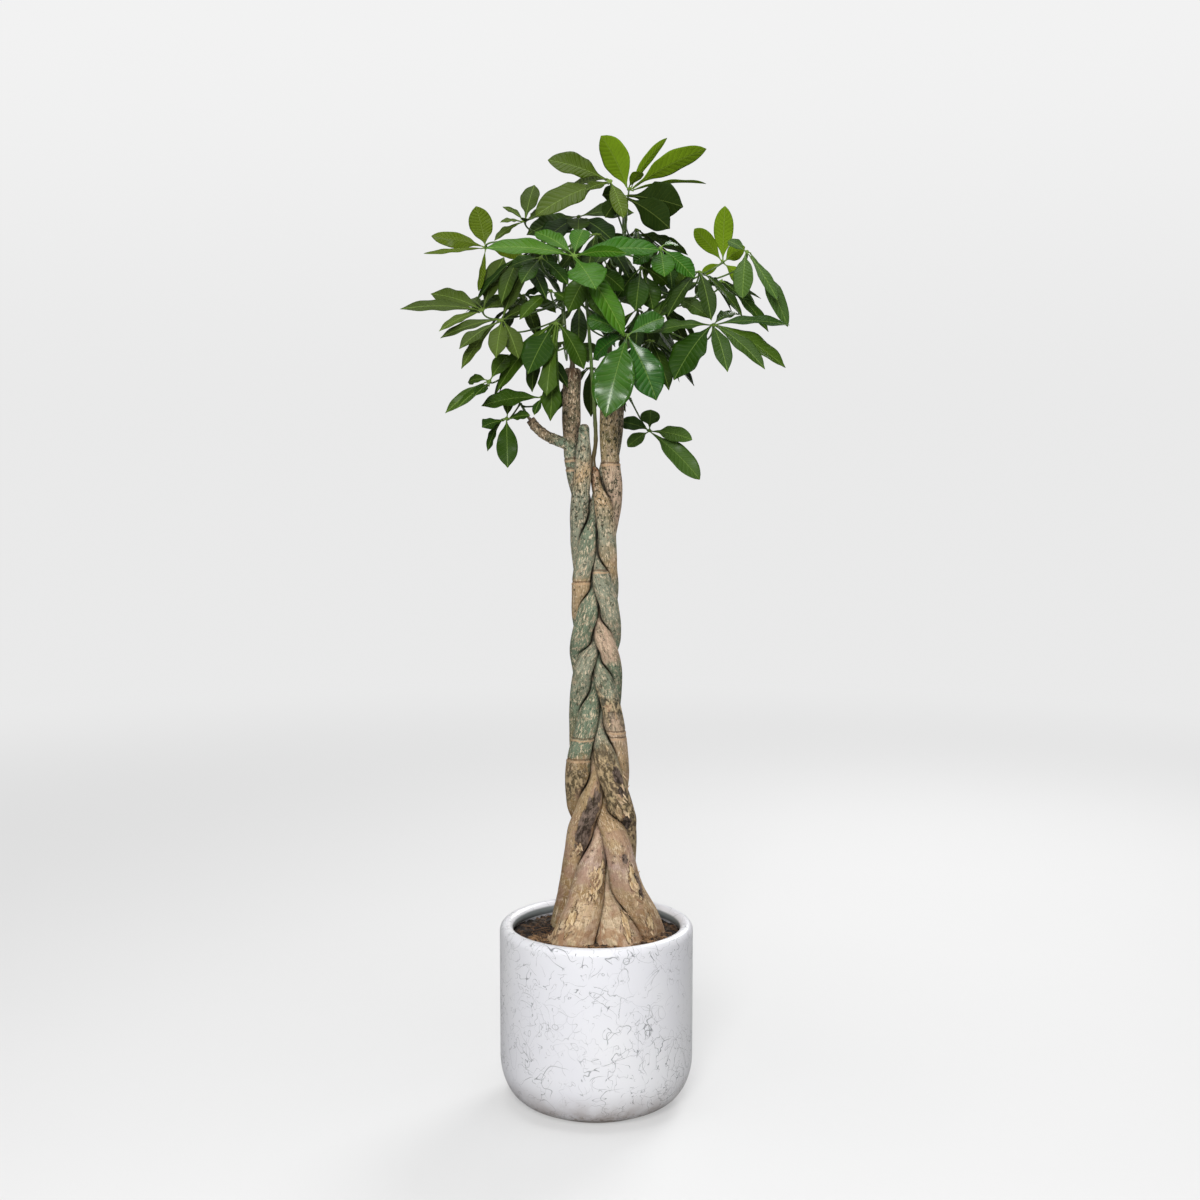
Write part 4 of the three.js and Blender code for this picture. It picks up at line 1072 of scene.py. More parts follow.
def rough_patch(paint, around, shifted, lowest, highest):
    """Dark, deeply broken bark between two heights."""
    zone = shifted.ramp(lowest - ROUGH_EDGE, lowest) * shifted.ramp(highest + ROUGH_EDGE, highest)
    broken = paint.noise(around, 130, detail=6, roughness=0.75, stretch=(1, 1, 0.6)).ramp(0.47, 0.56)
    paint.coat(zone * 0.7, paint.mix(broken, *BROKEN_BARK))
    paint.bump(zone * broken, 0.8, -0.004)


def wounds(paint, around, scar_and_shadow, torn, ragged, streaks):
    """Dark sunken scars, one of them a painted shadow under torn bark, and places where the bark has torn
    off its creamy inner side.
    """
    dark_patches = (scar_and_shadow + (ragged - 0.5) * 1.2).ramp(0.36, 0.44)
    paint.coat(dark_patches * 0.95, paint.mix(ragged.ramp(0.42, 0.6), *WOUND_AND_SHADOW))
    tatters = paint.noise(around, 150, detail=5, roughness=0.7, stretch=(1, 1, 0.3), shift=(2, 6, 4))
    tear = torn + (tatters - 0.5) * 2.2
    near = torn.ramp(0.05, 0.2)
    paint.coat(tear.ramp(0.34, 0.42) * near, TORN_EDGE)
    bare = tear.ramp(0.47, 0.53) * near
    paint.coat(bare * 0.95, paint.mix(streaks.ramp(0.4, 0.6), *INNER_BARK))
    paint.bump(dark_patches * ragged, 0.9, -0.005)
    paint.bump(bare, 0.8, -0.002)


def bark(name, stops, rough_zone, rings):
    """Smooth bark in bands of green and tan, with streaks, pale flecks, dark specks, scars, a painted shadow
    under torn bark and painted shade in the creases.
    """
    paint = Paint(name)
    around = paint.mark("around")
    scar_and_shadow, crease, cut = paint.marks("wear")
    torn = paint.marks("torn")[0]
    rise = paint.split(paint.place())[2] * PER_METRE
    blotches = paint.noise(around, 24, detail=5, roughness=0.62) - 0.5
    shifted = rise + blotches * BANDS_WAVER
    high, low, warm = shifted.ramp(*HIGH_ZONE), shifted.ramp(*LOW_ZONE), shifted.ramp(*WARM_ZONE)
    paint.colour = paint.bands(shifted, BANDS_FOOT, BANDS_TOP, stops)
    streaks, speck = bark_grain(paint, around, high, low, warm)
    old_bark(paint, around, rise, low, warm)
    ring_marks(paint, rise + blotches * RINGS_WAVER, rings)
    ragged = paint.noise(around, 170, detail=6, roughness=0.75, stretch=(1, 1, 0.5))
    paint.bump(ragged * 0.6 - speck, 0.5, 0.0014)
    if rough_zone:
        rough_patch(paint, around, shifted, *rough_zone)
    wounds(paint, around, scar_and_shadow, torn, ragged, streaks)
    # Painted shade in the creases where the trunks press together.
    paint.coat(crease * 0.85, CREASE_SHADE)
    paint.coat(cut, paint.mix(ragged.ramp(0.35, 0.7), *CUT_WOOD))
    return paint.finish(0.8, Specular_IOR_Level=0.2)


def torn_bark():
    """The pale, fibrous inner side of bark that has come loose."""
    paint = Paint("torn_bark")
    grain = paint.noise(paint.place(), 420, detail=4, stretch=(1, 1, 0.12))
    paint.colour = paint.mix(paint.marks("shade")[0], *FLAKE_BROWNS)
    paint.coat(grain.ramp(0.54, 0.64) * 0.6, FLAKE_GRAIN)
    paint.bump(grain, 0.6, 0.001)
    return paint.finish(0.85)


def green_stem():
    """Green shoots and leaf stalks, browner and paler in places."""
    paint = Paint("green_stem")
    place = paint.place()
    paint.colour = paint.mix(paint.noise(place, 60, detail=4).ramp(0.35, 0.7), *STEM_GREENS)
    paint.coat(paint.marks("woody")[0] * 0.85, WOODY_BROWN)
    paint.bump(paint.noise(place, 500, detail=2, stretch=(1, 1, 0.15)), 0.25, 0.0006)
    return paint.finish(0.45)


def leaf_blade(kind, look):
    """A leaf blade: side veins with puckers between them, and a pale midrib."""
    paint = Paint(f"leaf_{kind}")
    along, side, under = paint.marks("blade")
    half, tint, wobble = paint.marks("span")
    place = paint.place()
    across = abs(side)

    waver = (paint.noise(place, 60, detail=2) - 0.5) * VEIN_WAVER
    phase = (along - across**0.85 * VEIN_SLANT + waver) * VEIN_PAIRS + wobble
    off_vein = abs(paint.maths("FRACT", phase) - 0.5) * 2
    vein = off_vein.ramp(0.84, 0.98) * across.ramp(1.0, 0.55)
    middle = (across * half).ramp(1.0, 0.35)

    drift = paint.noise(place, 14).ramp(0.3, 0.7)
    dark = paint.mix(0.45, look.upper, BLADE_DARK)
    upper = paint.mix(drift, look.upper, paint.mix(0.5, look.upper, dark))
    upper = paint.mix(tint, upper, paint.mix(0.16, look.upper, BLADE_FRESH))
    upper = paint.mix(across.ramp(0.1, 0.9) * 0.25, upper, dark)
    upper = paint.mix(vein * (0.2 * look.veins), upper, UPPER_VEIN)
    upper = paint.mix(middle * 0.32, upper, UPPER_MIDRIB)
    lower = paint.mix(drift, look.under, paint.mix(0.25, look.under, dark))
    lower = paint.mix(vein * 0.3, lower, LOWER_VEIN)
    lower = paint.mix(middle * 0.32, lower, LOWER_MIDRIB)
    paint.colour = paint.mix(under, upper, lower)
    paint.coat(paint.noise(place, 120, roughness=0.7).ramp(0.68, 0.74) * 0.25, BLEMISH)

    paint.bump(1 - off_vein**2.5, 0.6 * look.veins, 0.0026)
    paint.bump(vein * -0.5 + middle, 0.4, -0.0008)
    paint.bump(paint.cells(place, 420).ramp(0, 0.2), 0.15, 0.0003)
    return paint.finish(
        under * 0.18 + look.rough, Coat_Weight=look.coat, Coat_Roughness=0.22, Specular_IOR_Level=0.12
    )


# The pot and what is in it.


def quarter(start, end, steps, out_first):
    """Quarter-ellipse points from one profile point to another."""
    angle = np.linspace(0, math.pi / 2, steps + 1)[1:]
    slow, quick = 1 - np.cos(angle), np.sin(angle)
    along, up = (quick, slow) if out_first else (slow, quick)
    wide, tall = end[0] - start[0], end[1] - start[1]
    return [(start[0] + wide * a, start[1] + tall * b) for a, b in zip(along, up)]


def pot_profile():
    outer_foot = (POT_RADIUS - POT_CORNER_WIDTH, POT_FOOT_HEIGHT)
    outer_wall = (POT_RADIUS, POT_FOOT_HEIGHT + POT_CORNER_HEIGHT)
    rim_outside = (POT_RADIUS, POT_HEIGHT - POT_RIM_DROP)
    rim_top = ((POT_RADIUS + POT_MOUTH_RADIUS) / 2, POT_HEIGHT)
    rim_inside = (POT_MOUTH_RADIUS, POT_HEIGHT - POT_RIM_DROP)
    wall = [(POT_RADIUS, z) for z in np.linspace(outer_wall[1], rim_outside[1], POT_WALL_STEPS)[1:]]
    return [
        (POT_FOOT_RADIUS - POT_FOOT_BAND, 0),
        (POT_FOOT_RADIUS - POT_FOOT_EDGE, 0),
        (POT_FOOT_RADIUS, POT_FOOT_EDGE),
        (POT_FOOT_RADIUS, POT_FOOT_HEIGHT - POT_FOOT_CREASE),
        (POT_FOOT_RADIUS + POT_FOOT_CREASE, POT_FOOT_HEIGHT),
        outer_foot,
        *quarter(outer_foot, outer_wall, POT_CORNER_STEPS, True),
        *wall,
        *quarter(rim_outside, rim_top, POT_RIM_STEPS, False),
        *quarter(rim_top, rim_inside, POT_RIM_STEPS, True),
        (rim_inside[0] + POT_LIP_TUCK[0], rim_inside[1] - POT_LIP_TUCK[1]),
        (POT_INNER_RADIUS, POT_HEIGHT - POT_LIP_DROP),
        (POT_INNER_RADIUS, POT_FLOOR + POT_CORNER_HEIGHT),
        (POT_INNER_RADIUS - POT_CORNER_WIDTH, POT_FLOOR),
    ]


def make_pot():
    make_piece("pot_glazed", [skin(turned_rings(pot_profile(), POT_SIDES))], glaze(), "pot", "pot")


def lumps(x, y, size):
    return noise.fractal(Vector((x / size, y / size, 0)), *SOIL_ROUGHNESS)


def soil_top(x, y):
    """The height of the lumpy soil at a place."""
    level = np.interp(math.hypot(x, y), *zip(*SOIL_PROFILE))
    return level + SOIL_RELIEF * lumps(x, y, LUMP_SIZE)


def make_soil():
    edge, edge_height = SOIL_PROFILE[-1]
    rings = turned_rings([(radius, 0) for radius in np.linspace(1, edge, SOIL_RINGS)], SOIL_SIDES)
    for ring in rings:
        for point in ring:
            x, y, _ = point
            point[2] = soil_top(x, y) + lumps(x + CRUMB_SHIFT, y, CRUMB_SIZE)
    floor = turned_rings([(edge, edge_height - SOIL_SKIRT)], SOIL_SIDES)
    make_piece("soil_mound", [skin(np.concatenate([rings, floor])[::-1])], earth(), "soil", "soil")


def make_chips(rng):
    """Angular chips that lie half sunk in the soil."""
    parts = []
    block = np.array([[x, y, z] for z in (-1, 1) for x, y in CHIP_OUTLINE])
    for _ in range(CHIP_COUNT):
        radius = CHIP_REACH * math.sqrt(rng.uniform(CHIP_NEAREST, 1))
        bearing = rng.uniform(0, TURN)
        length = rng.uniform(*CHIP_SIZE)
        size = length * np.array([1, rng.uniform(*CHIP_WIDTH), rng.uniform(*CHIP_THICKNESS)])
        corners = block * size * rng.uniform(*CHIP_UNEVENNESS, (len(block), 1))
        turn = rng.uniform(0, TURN)
        tip = rng.uniform(-CHIP_TIP, CHIP_TIP)
        c, s = math.cos(turn), math.sin(turn)
        level = np.array([[c, -s, 0], [s, c, 0], [0, 0, 1]])
        c, s = math.cos(tip), math.sin(tip)
        tilt = np.array([[c, 0, -s], [0, 1, 0], [s, 0, c]])
        x, y = radius * math.cos(bearing), radius * math.sin(bearing)
        corners = corners @ tilt.T @ level.T + [x, y, soil_top(x, y) + CHIP_LIFT]
        shade = rng.uniform(0, 1) ** CHIP_DARKNESS
        parts.append(skin(corners.reshape(2, len(CHIP_OUTLINE), 3), shade=(shade, 0, 0)))
    chips = make_piece("soil_chips", parts, chippings(), "soil")
    chips.data.polygons.foreach_set("use_smooth", np.zeros(len(chips.data.polygons), dtype=bool))


def make_fibres(rng):
    """Loose fibres on the soil, thickest and brightest at the front of the trunks."""
    parts = []
    for _ in range(FIBRE_COUNT):
        where, distances, shades = FRONT_FIBRES if rng.uniform() < FRONT_SHARE else OTHER_FIBRES
        bearing = rng.uniform(*where)
        radius = rng.uniform(*distances)
        steps = np.linspace(-0.5, 0.5, FIBRE_STEPS) * rng.uniform(*FIBRE_LENGTH)
        turn = rng.uniform(0, TURN) + steps * rng.uniform(-FIBRE_BOW, FIBRE_BOW)
        x = radius * math.cos(bearing) + steps * np.cos(turn)
        y = radius * math.sin(bearing) + steps * np.sin(turn)
        reach = np.minimum(np.hypot(x, y), FIBRE_LIMIT) / np.hypot(x, y)
        x, y = x * reach, y * reach
        arch = rng.uniform(0, FIBRE_ARCH) * np.sin(np.linspace(0, math.pi, FIBRE_STEPS))
        ground = np.array([soil_top(a, b) for a, b in zip(x, y)])
        path = np.stack([x, y, ground + FIBRE_LIFT + arch], axis=1)
        shade = rng.uniform(*shades)
        parts.append(skin(tube(path, rng.uniform(*FIBRE_RADIUS), FIBRE_SIDES), shade=(shade, 0, 0)))
    make_piece("soil_fibres", parts, fibres(), "soil")


# The trunks.


def plait(column, z):
    return smooth_table(PLAIT, column, z)


def top_of(trunk):
    return ROOT_Z + trunk.steps * LEVEL_STEP


def radius_of(trunk, z):
    top = top_of(trunk)
    narrowing = 1 - (1 - trunk.taper) * fade(top - TAPER_LENGTH, top, z)
    return plait(RADIUS, z) * trunk.thick * narrowing


def turn_of(trunk, z):
    """Where a trunk is in its turn at a height, eased to a stop near its top."""
    turns = [(height, (i - FIRST_FULL_TURN) * TENTH_TURN) for i, height in enumerate(CROSSINGS)]
    free = smooth_table(turns, 1, z) + 2 * trunk.fifths * TENTH_TURN
    stop = math.radians(trunk.stop)
    return stop - STOP_SOFTNESS * np.log(np.exp((stop - free) / STOP_SOFTNESS) + 1)


def centre_of(trunk, z):
    """The trunks run along a figure of eight, seen from above."""
    turn = turn_of(trunk, z)
    rooted = 1 - fade(ROOT_Z, SPREAD_TOP, z)
    reach = plait(HALF, z) - plait(RADIUS, z)
    x = plait(LEAN, z) + reach * np.sin(turn) + rooted * trunk.spread[0]
    y = plait(DEPTH, z) * np.sin(2 * turn) + rooted * trunk.spread[1]
    return np.stack([x, y], axis=-1)


def pressed_reach(trunk, z, directions):
    """How far the surface lies from the centre, pressed flat where it meets the other trunks."""
    centre, radius = centre_of(trunk, z), radius_of(trunk, z)
    free = np.broadcast_to(radius[:, None], (len(z), len(directions)))
    pressed = np.exp(-free / EDGE_SOFTNESS)
    for other in TRUNKS:
        if other is trunk:
            continue
        between = centre_of(other, z) - centre
        apart = np.linalg.norm(between, axis=1)
        share = (apart**2 + radius**2 - radius_of(other, z) ** 2) / (2 * apart)
        beyond = 2 * np.maximum(0, z - top_of(other))
        along = (between @ directions.T) / apart[:, None]
        wall = (share - TRUNK_GAP / 2 + beyond)[:, None] / np.maximum(along, FACING)
        limit = np.clip(np.where(along > FACING, wall, FAR_AWAY), 0, FAR_AWAY)
        pressed = pressed + np.exp(-limit / EDGE_SOFTNESS)
    return -EDGE_SOFTNESS * np.log(pressed), free


def ring_scars(number, z):
    """A narrow ridge with a groove over it at each ring scar."""
    relief = np.zeros_like(z)
    for trunk, height in RING_SCARS:
        if trunk == number:
            groove = bulge(height + RING_GROOVE_RISE * RING_WIDTH, RING_WIDTH, z)
            relief += RING_RELIEF * (bulge(height, RING_WIDTH, z) - RING_GROOVE * groove)
    return relief


def front_marks(places, number, points, directions):
    """Marks of 0 to 1 on the front of a trunk, each slanted as the trunk runs."""
    marks = np.zeros(points.shape[:2])
    middle = points.mean(axis=1)
    for trunk, right, height, wide, tall in places:
        if trunk == number:
            offset = right - np.interp(height, middle[:, 2], middle[:, 0])
            sideways = (points[..., 0] - middle[:, None, 0] - offset) / wide
            upwards = (points[..., 2] - height) / tall
            marks = np.maximum(marks, np.exp(-(sideways**2) - upwards**2) * (directions[:, 1] < FRONT_EDGE))
    return marks


def bark_relief(around, seed):
    """Lumps and long shallow furrows of the bark."""
    relief = np.zeros(around.shape[:2])
    for place in np.ndindex(relief.shape):
        x, y, s = around[place]
        for wide, long, height in BARK_RELIEF:
            relief[place] += height * noise.noise(Vector((x / wide, y / wide, s / long + seed)))
    return relief


def trunk_skin(number):
    """Rings up a trunk, and for each point its place on the bark, how scarred, cut and torn it is, and how
    deep in a crease it lies, for the crease's painted shade.
    """
    trunk = TRUNKS[number]
    top = top_of(trunk)
    below, drawn_in = np.array(CUT_EDGE).T
    z = np.append(np.arange(TRUNK_FOOT, top - below[0], RING_STEP), top - below)
    angles = bearings(TRUNK_SIDES)
    directions = np.stack([np.cos(angles), np.sin(angles)], axis=1)
    centre = centre_of(trunk, z)
    reach, free = pressed_reach(trunk, z, directions)
    steps = np.linalg.norm(np.diff(np.column_stack([centre, z]), axis=0), axis=1)
    around = raised(directions * reach[..., None], np.append(0, np.cumsum(steps)))
    # How far into a crease each point lies: it calms the relief there and sets the crease's painted shade.
    crease = fade(*CREASE_ZONE, (free - reach) / free)
    reach = reach + bark_relief(around, BARK_SEED_STEP * number) * (1 - CREASE_CALM * crease)
    reach = reach + ring_scars(number, z)[:, None] * (1 - crease)
    reach = reach - np.interp(z, top - below, drawn_in)[:, None]
    points = raised(centre[:, None] + directions * reach[..., None], z)
    cut = np.broadcast_to(fade(*(top - np.array(CUT_ZONE)), z)[:, None], reach.shape)
    wear = np.stack([front_marks(SCARS_AND_SHADOW, number, points, directions), crease, cut], axis=-1)
    peeled = front_marks(PEELED, number, points, directions)

    shares, sunk = np.array(CUT_FACE).T
    middle = np.append(centre[-1], top)
    face = middle + (points[-1:] - middle) * shares[:, None, None]
    face[..., 2] = top - sunk[:, None]
    points = np.concatenate([points, face])
    around = np.concatenate([around, np.repeat(around[-1:], len(face), axis=0)])
    wear = np.concatenate([wear, np.broadcast_to([0, 0, 1], face.shape)])
    torn = np.zeros(points.shape)
    torn[: len(peeled), :, 0] = peeled
    return points, {"around": around * MM, "wear": wear, "torn": torn}


def branch_skin():
    """The cut side branch, with rings where leaves once grew and a dark dry end."""
    path = smooth_path(BRANCH_PATH, BRANCH_STEPS)
    t = np.linspace(0, 1, len(path))
    radii = BRANCH_ROOT + (BRANCH_TIP - BRANCH_ROOT) * t + BRANCH_COLLAR * bulge(0, BRANCH_COLLAR_WIDTH, t)
    for place in BRANCH_RINGS:
        radii = radii + BRANCH_RING_RELIEF * bulge(place, BRANCH_RING_WIDTH, t)
    rings = tube(path, radii, BRANCH_SIDES)
    outward = unit(rings - path[:, None])
    for place in np.ndindex(rings.shape[:2]):
        lump = noise.noise(Vector(rings[place] / BRANCH_LUMP_SIZE))
        rings[place] += outward[place] * BRANCH_LUMP * lump
    end = path[-1]
    way = unit(path[-1] - path[-2])
    cap = np.array([end + (rings[-1] - end) * share + way * BRANCH_CAP_RISE for share in BRANCH_CAP])
    cut = np.append(fade(BRANCH_DRY_END, 1, t), np.ones(len(cap)))
    rings = np.concatenate([rings, cap])
    wear = np.stack([0 * cut, 0 * cut, cut], axis=-1)[:, None]
    return skin(rings, around=rings * MM, wear=wear, torn=(0, 0, 0))


def make_trunks():
    """The five trunks. The points of their surfaces are handed back for the torn bark."""
    surfaces = []
    for number, stops in enumerate(BARK_BANDS):
        points, marks = trunk_skin(number)
        surfaces.append(points)
        parts = [skin(points, **marks)]
        if number == BRANCH_TRUNK:
            parts.append(branch_skin())
        rings = [height for trunk, height in RING_SCARS if trunk == number]
        material = bark(f"bark_{number + 1}", stops, ROUGH_BARK.get(number), rings)
        make_piece(f"bark_of_trunk_{number + 1}", parts, material, "bark", f"trunk_{number + 1}")
    return surfaces


def flake_skin(points, right, height, rng):
    """One torn strip of bark, fast at one end and curling away at the other."""
    row = int(np.argmin(abs(points[:, 0, 2] - height)))
    ring = points[row]
    centre = ring.mean(axis=0)
    front = ring[:, 1] < centre[1]
    column = int(np.argmin(np.where(front, abs(ring[:, 0] - right), FAR_AWAY)))
    spot = ring[column]
    out = unit((spot - centre) * [1, 1, 0])
    rise = unit(points[min(row + FLAKE_ROWS_UP, len(points) - 1), column] - spot)
    across = unit(np.cross(out, rise))
    slant = rng.normal(0, FLAKE_SLANT)
    climb = rise * math.cos(slant) + across * math.sin(slant)
    left = across * math.cos(slant) - rise * math.sin(slant)
    t = np.linspace(0, 1, FLAKE_STEPS)
    ahead = (t - 0.5) * rng.uniform(*FLAKE_LENGTH) * rng.choice([-1, 1])
    lift = rng.uniform(*FLAKE_LIFT) * t**2 - FLAKE_SUNK
    swerve = rng.uniform(-FLAKE_SWERVE, FLAKE_SWERVE) * t**2
    middle = spot + climb * ahead[:, None] + out * lift[:, None] + left * swerve[:, None]
    half = rng.uniform(*FLAKE_HALF) * (1 - t**FLAKE_POINT) ** FLAKE_BLUNTNESS
    half = half * (1 + FLAKE_RAGGED * rng.uniform(-1, 1, len(t))) + FLAKE_LEAST
    cup = -FLAKE_CUP * half[:, None] * BLADE_COLUMNS**2
    rings = ribbon(middle, left, out, half, cup, np.full(len(t), FLAKE_THICKNESS))
    return skin(rings, shade=(rng.uniform(0, 1), 0, 0))


def make_flakes(surfaces, rng):
    """Torn bark, in clusters on the front of the trunks."""
    parts = []
    for number, right, height, wide, tall, count in TORN_PLACES:
        for _ in range(count):
            across, up = right + rng.normal(0, wide / 2), height + rng.normal(0, tall / 2)
            parts.append(flake_skin(surfaces[number], across, up, rng))
    make_piece("bark_flakes", parts, torn_bark(), "bark")


# The shoots.


def shoot_base(shoot):
    """Where a shoot stands and the way it sets out."""
    if shoot.on == "branch":
        before, end = np.array(BRANCH_PATH[-2:], dtype=float)
        return end, unit(end - before)
    if shoot.on == "side":
        trunk = TRUNKS[SIDE_SHOOT_TRUNK]
        z = np.array([ROOT_Z + SIDE_SHOOT_LEVEL * LEVEL_STEP])
        reach, _ = pressed_reach(trunk, z, np.array([[0.0, 1.0]]))
        x, y = centre_of(trunk, z)[0]
        return np.array([x, y + reach[0, 0], z[0]]), np.array([0.0, 1.0, 0.0])
    trunk = TRUNKS[shoot.on]
    top = top_of(trunk)
    x, y = centre_of(trunk, np.array([top]))[0]
    return np.array([x, y, top]), np.array([0.0, 0.0, 1.0])


def stalk_skin(leaf, stem):
    """A long thin leaf stalk, swollen where it leaves the stem and under the hub."""
    hub = np.array(leaf.hub, dtype=float)
    start = point_at(stem, leaf.at)
    bend = hub - unit(leaf.face) * STALK_BEND * np.linalg.norm(hub - start)
    t = np.linspace(0, 1, STALK_RINGS)
    swelling = STALK_FOOT * bulge(0, STALK_FOOT_WIDTH, t) + STALK_NECK * bulge(1, STALK_NECK_WIDTH, t)
    path = bezier(start, bend, hub, t)
    return skin(tube(path, STALK_RADIUS * (1 + swelling), STALK_SIDES), woody=(0, 0, 0))


def make_shoot(number, shoot, leaves, material):
    """A knotted green stem and the stalks of the leaves that it carries."""
    start, way = shoot_base(shoot)
    stem = smooth_path([start, start + way * STEM_RISE, *shoot.stem], STEM_RINGS)
    path = np.vstack([stem[0] - unit(stem[1] - stem[0]) * STEM_SUNK, stem])
    t = np.linspace(0, 1, len(path))
    radii = shoot.root + (shoot.tip - shoot.root) * t + STEM_COLLAR * bulge(0, STEM_COLLAR_WIDTH, t)
    for place in STEM_NODES:
        radii = radii + STEM_NODE_RELIEF * bulge(place, STEM_NODE_WIDTH, t)
    woody = np.stack([1 - fade(*WOODY_ZONE, t), 0 * t, 0 * t], axis=-1)[:, None]
    parts = [skin(tube(path, radii, STEM_SIDES), woody=woody)]
    parts += [stalk_skin(leaf, stem) for leaf in leaves if leaf.shoot == number]
    make_piece(f"stems_of_shoot_{number}", parts, material, "shoot", f"shoot_{number}")


# The leaves.


def fan_leaflets(fan, heading):
    """The leaflets of a plain fan, the middle one towards the heading."""
    leaflets = []
    for angle in fan.angles:
        length = fan.length * (1 - fan.shorter * abs(angle) / max(fan.angles))
        bearing = math.radians(heading + angle)
        tip = (length * math.cos(bearing), length * math.sin(bearing), -fan.droop * length)
        leaflets.append((*tip, fan.width * length))
    return leaflets


def far_leaves():
    """The leaves at the back and inside the crown, in the same terms as the others."""
    leaves = []
    for where, fan in FANS.items():
        for number, (shoot, at, hub, heading) in enumerate(FAR_LEAVES[where], start=1):
            ahead = math.radians(heading)
            face = (math.cos(ahead), math.sin(ahead), FAN_UPRIGHT)
            leaflets = fan_leaflets(fan, heading)
            leaves.append(Leaf(f"{where}_{number}", shoot, at, hub, face, fan.kind, leaflets))
    return leaves


def hub_of(leaf):
    """The place where the leaflets meet, the way it faces, and right and up across that face."""
    face = unit(leaf.face)
    right = unit(np.array([1, 0, 0]) - face * face[0])
    return SimpleNamespace(
        place=np.array(leaf.hub, dtype=float), face=face, right=right, up=np.cross(face, right)
    )


def roots_of(leaf, hub):
    """The leaflets in order around the hub, each with its room beside its neighbours."""
    roots = []
    for across, back, rise, width, *roll in leaf.leaflets:
        tip = np.array([across, back, rise], dtype=float)
        angle = math.atan2(tip @ hub.up, tip @ hub.right)
        roll = math.radians(roll[0]) if roll else 0
        roots.append(SimpleNamespace(tip=tip, width=width, roll=roll, angle=angle))
    roots.sort(key=lambda root: root.angle)
    count = len(roots)

    def gap_after(i):
        whole = TURN if i == count - 1 else 0
        return roots[(i + 1) % count].angle - roots[i].angle + whole

    for i, root in enumerate(roots):
        nearest = min(1, gap_after(i), gap_after((i - 1) % count))
        root.room = math.sin(nearest / 2)
    for _ in range(SPACING_ROUNDS):
        for i, root in enumerate(roots):
            short = max(0, ROOT_SPACING - gap_after(i))
            root.angle -= short / 2
            roots[(i + 1) % count].angle += short / 2
    for root in roots:
        way = hub.right * math.cos(root.angle) + hub.up * math.sin(root.angle)
        root.start = hub.place + HUB_RADIUS * way
    return roots


def blade_course(hub, root, t):
    """The arched middle of a leaflet, the way to its left and the way that its upper face looks."""
    end = hub.place + root.tip
    chord = end - root.start
    length = np.linalg.norm(chord)
    lift = hub.face + np.array([0, 0, 1])
    lift = unit(lift - chord * (lift @ chord) / length**2)
    bend = root.start + chord * ARCH_PLACE + lift * ARCH * length
    along = bezier_way(root.start, bend, end, t)
    left = unit(np.cross(hub.face, along))
    roll = (root.roll * np.minimum(1, t / ROLL_END))[:, None]
    left = unit(left * np.cos(roll) + np.cross(along, left) * np.sin(roll))
    return bezier(root.start, bend, end, t), left, np.cross(along, left)


def leaflet_skin(hub, root, look, rng):
    """One leaflet: an arched, folded blade with a drawn-out tip and a gently waved margin."""
    t = np.linspace(0, 1, BLADE_ROWS) ** ROW_CROWDING
    middle, left, normal = blade_course(hub, root, t)
    free = smooth_table(OUTLINES[look.outline], 1, t) * root.width / 2
    room = np.maximum(LEAST_HALF, root.room * t * np.linalg.norm(root.tip))
    room = room * (1 + ROOM_GROWTH * np.maximum(0, t - ROOM_START))
    half = np.maximum(TIP_HALF, np.minimum(free, room))

    spread = abs(BLADE_COLUMNS)
    phases = rng.uniform(0, TURN, 2)
    ripples = rng.uniform(*RIPPLES)
    sides = np.where(BLADE_COLUMNS < 0, phases[0], phases[1])
    wave = np.sin(TURN * ripples * t[:, None] + sides) * spread**2 * np.sin(math.pi * t)[:, None]
    fold = FOLD * np.sqrt(spread**2 + FOLD_ROUNDING)
    lift = (fold + look.wave * wave) * half[:, None]
    rings = ribbon(middle, left, normal, half, lift, BLADE_THICKNESS * (1 - TIP_THINNING * t))
    columns = len(BLADE_COLUMNS)
    rings[:, columns + columns // 2] -= normal * (MIDRIB_DEPTH * (1 - MIDRIB_FADE * t))[:, None]

    side = np.concatenate([BLADE_COLUMNS[::-1], BLADE_COLUMNS])
    under = np.repeat([0, 1], columns)
    blade = np.stack(np.broadcast_arrays(t[:, None], side, under), axis=-1)
    tint, wobble = rng.uniform(0, 1) ** 2, rng.uniform()
    span = np.stack(np.broadcast_arrays(half, tint, wobble), axis=-1)[:, None]
    return skin(rings, blade=blade, span=span)


def plain_skin(path, radii, sides):
    """A round part of a leaf, with the marks of a blade's midrib."""
    return skin(tube(path, radii, sides), blade=(0, 0, 0), span=MIDRIB_SPAN)


def petiolule_skin(hub, root):
    """The short swollen foot of a leaflet, from the hub out."""
    t = np.linspace(0, 1, PETIOLULE_RINGS)
    path = hub.place + (root.start - hub.place) * PETIOLULE_REACH * t[:, None]
    return plain_skin(path, PETIOLULE_RADIUS * (1 - PETIOLULE_TAPER * t), PETIOLULE_SIDES)


def knob_skin(hub):
    """The small round hub where the leaflets meet."""
    angle = np.linspace(KNOB_END, math.pi - KNOB_END, KNOB_RINGS)
    path = hub.place + hub.face * (-HUB_KNOB * KNOB_FLATNESS * np.cos(angle))[:, None]
    return plain_skin(path, HUB_KNOB * np.sin(angle), KNOB_SIDES)


def make_leaf(leaf, material, rng):
    look = LEAF_KINDS[leaf.kind]
    hub = hub_of(leaf)
    parts = [knob_skin(hub)]
    for root in roots_of(leaf, hub):
        parts.append(leaflet_skin(hub, root, look, rng))
        parts.append(petiolule_skin(hub, root))
    make_piece(f"blades_{leaf.name}", parts, material, "leaf", f"leaf_{leaf.name}")


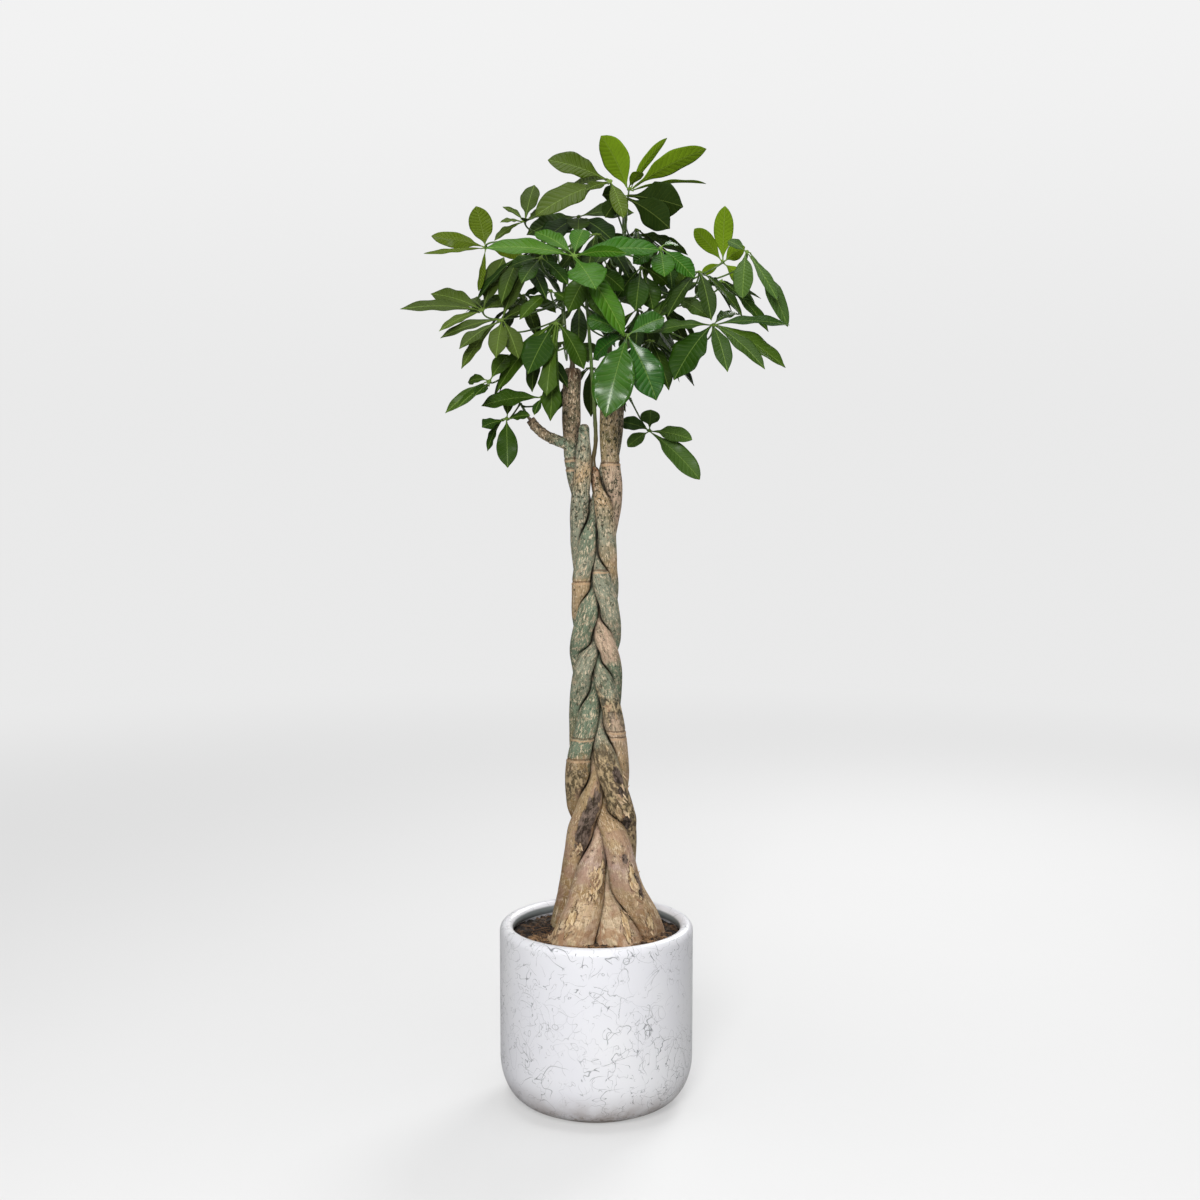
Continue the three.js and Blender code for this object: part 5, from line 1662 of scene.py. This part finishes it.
def make_crown(rng):
    leaves = LEAVES + far_leaves()
    stems = green_stem()
    for number, shoot in enumerate(SHOOTS, start=1):
        make_shoot(number, shoot, leaves, stems)
    materials = {kind: leaf_blade(kind, look) for kind, look in LEAF_KINDS.items()}
    for leaf in leaves:
        make_leaf(leaf, materials[leaf.kind], rng)


# The stage, the lights and the camera.


def grey(tone):
    return (tone, tone, tone)


def floor_paper():
    """Pale paper, which glows to the eye more than it lights the plant."""
    paint = Paint("floor_paper")
    place = paint.place()
    seen = paint.seen()
    paper = paint.mix(paint.noise(place, 2, detail=2), *map(grey, PAPER_TONES))
    paint.colour = paint.mix(seen, grey(FLOOR_BOUNCE), paper)
    paint.finish(0.9)
    far = paint.vectors("LENGTH", place, output="Value").ramp(1.0, 5)
    share = (far * (1 - FLOOR_GLOW) + FLOOR_GLOW) * seen
    glow = paint.put("Emission", {"Color": grey(STAGE_TONE)})
    plain = Value(paint, paint.shader.outputs[0])
    blend = paint.put("MixShader", {0: share, 1: plain, 2: glow})
    paint.feed(paint.tree.nodes["Material Output"].inputs["Surface"], blend)
    return paint.material


def make_floor():
    """A round pale floor that fades into the pale surroundings."""
    ring = turned_rings([(STAGE_RADIUS, STAGE_HEIGHT)], STAGE_SIDES)[0]
    mesh = bpy.data.meshes.new("floor")
    mesh.from_pydata(ring.tolist(), [], [list(range(STAGE_SIDES))])
    floor = bpy.data.objects.new("floor", mesh)
    bpy.context.scene.collection.objects.link(floor)
    floor.data.materials.append(floor_paper())


def make_surroundings():
    """A pale backdrop all round. It lights the plant from before and behind, and less from elsewhere."""
    paint = Paint("pale_studio", bpy.data.worlds)
    right, _, up = paint.split(paint.put("TexCoord", {}, "Generated"))
    backdrop = paint.mix(up.ramp(0, 0.25), grey(STAGE_TONE), grey(BACKDROP_TONE))
    light = paint.mix(abs(right).ramp(0.35, 0.85), grey(FRONT_TONE), grey(SIDE_TONE))
    light = paint.mix(up.ramp(0.28, 0.6), light, grey(UPPER_TONE))
    paint.feed(paint.tree.nodes["Background"].inputs["Color"], paint.mix(paint.seen(), light, backdrop))
    bpy.context.scene.world = paint.material


def make_lamp(name, place, aim, size, power):
    lamp = bpy.data.lights.new(name, "AREA")
    lamp.shape = "DISK"
    lamp.size = size
    lamp.energy = power
    light = bpy.data.objects.new(name, lamp)
    light.location = place
    light.rotation_euler = (Vector(aim) - Vector(place)).to_track_quat("-Z", "Y").to_euler()
    light.visible_camera = False
    bpy.context.scene.collection.objects.link(light)


def make_camera():
    camera = bpy.data.objects.new("camera", bpy.data.cameras.new("camera"))
    camera.data.lens = CAMERA_LENS
    camera.data.sensor_width = CAMERA_SENSOR
    camera.location = CAMERA_PLACE
    camera.rotation_euler = (math.radians(90 - CAMERA_DIP), 0, 0)
    bpy.context.scene.collection.objects.link(camera)
    bpy.context.scene.camera = camera


def write_sizes():
    def plain(corners):
        return [[float(value) for value in corner] for corner in corners]


bpy.context.scene.view_settings.view_transform = "Standard"
make_camera()
make_pot()
make_soil()
make_chips(np.random.default_rng(CHIP_SEED))
make_fibres(np.random.default_rng(FIBRE_SEED))
make_flakes(make_trunks(), np.random.default_rng(FLAKE_SEED))
make_crown(np.random.default_rng(CROWN_SEED))
make_floor()
make_surroundings()
for row in LAMPS:
    make_lamp(*row)
write_sizes()
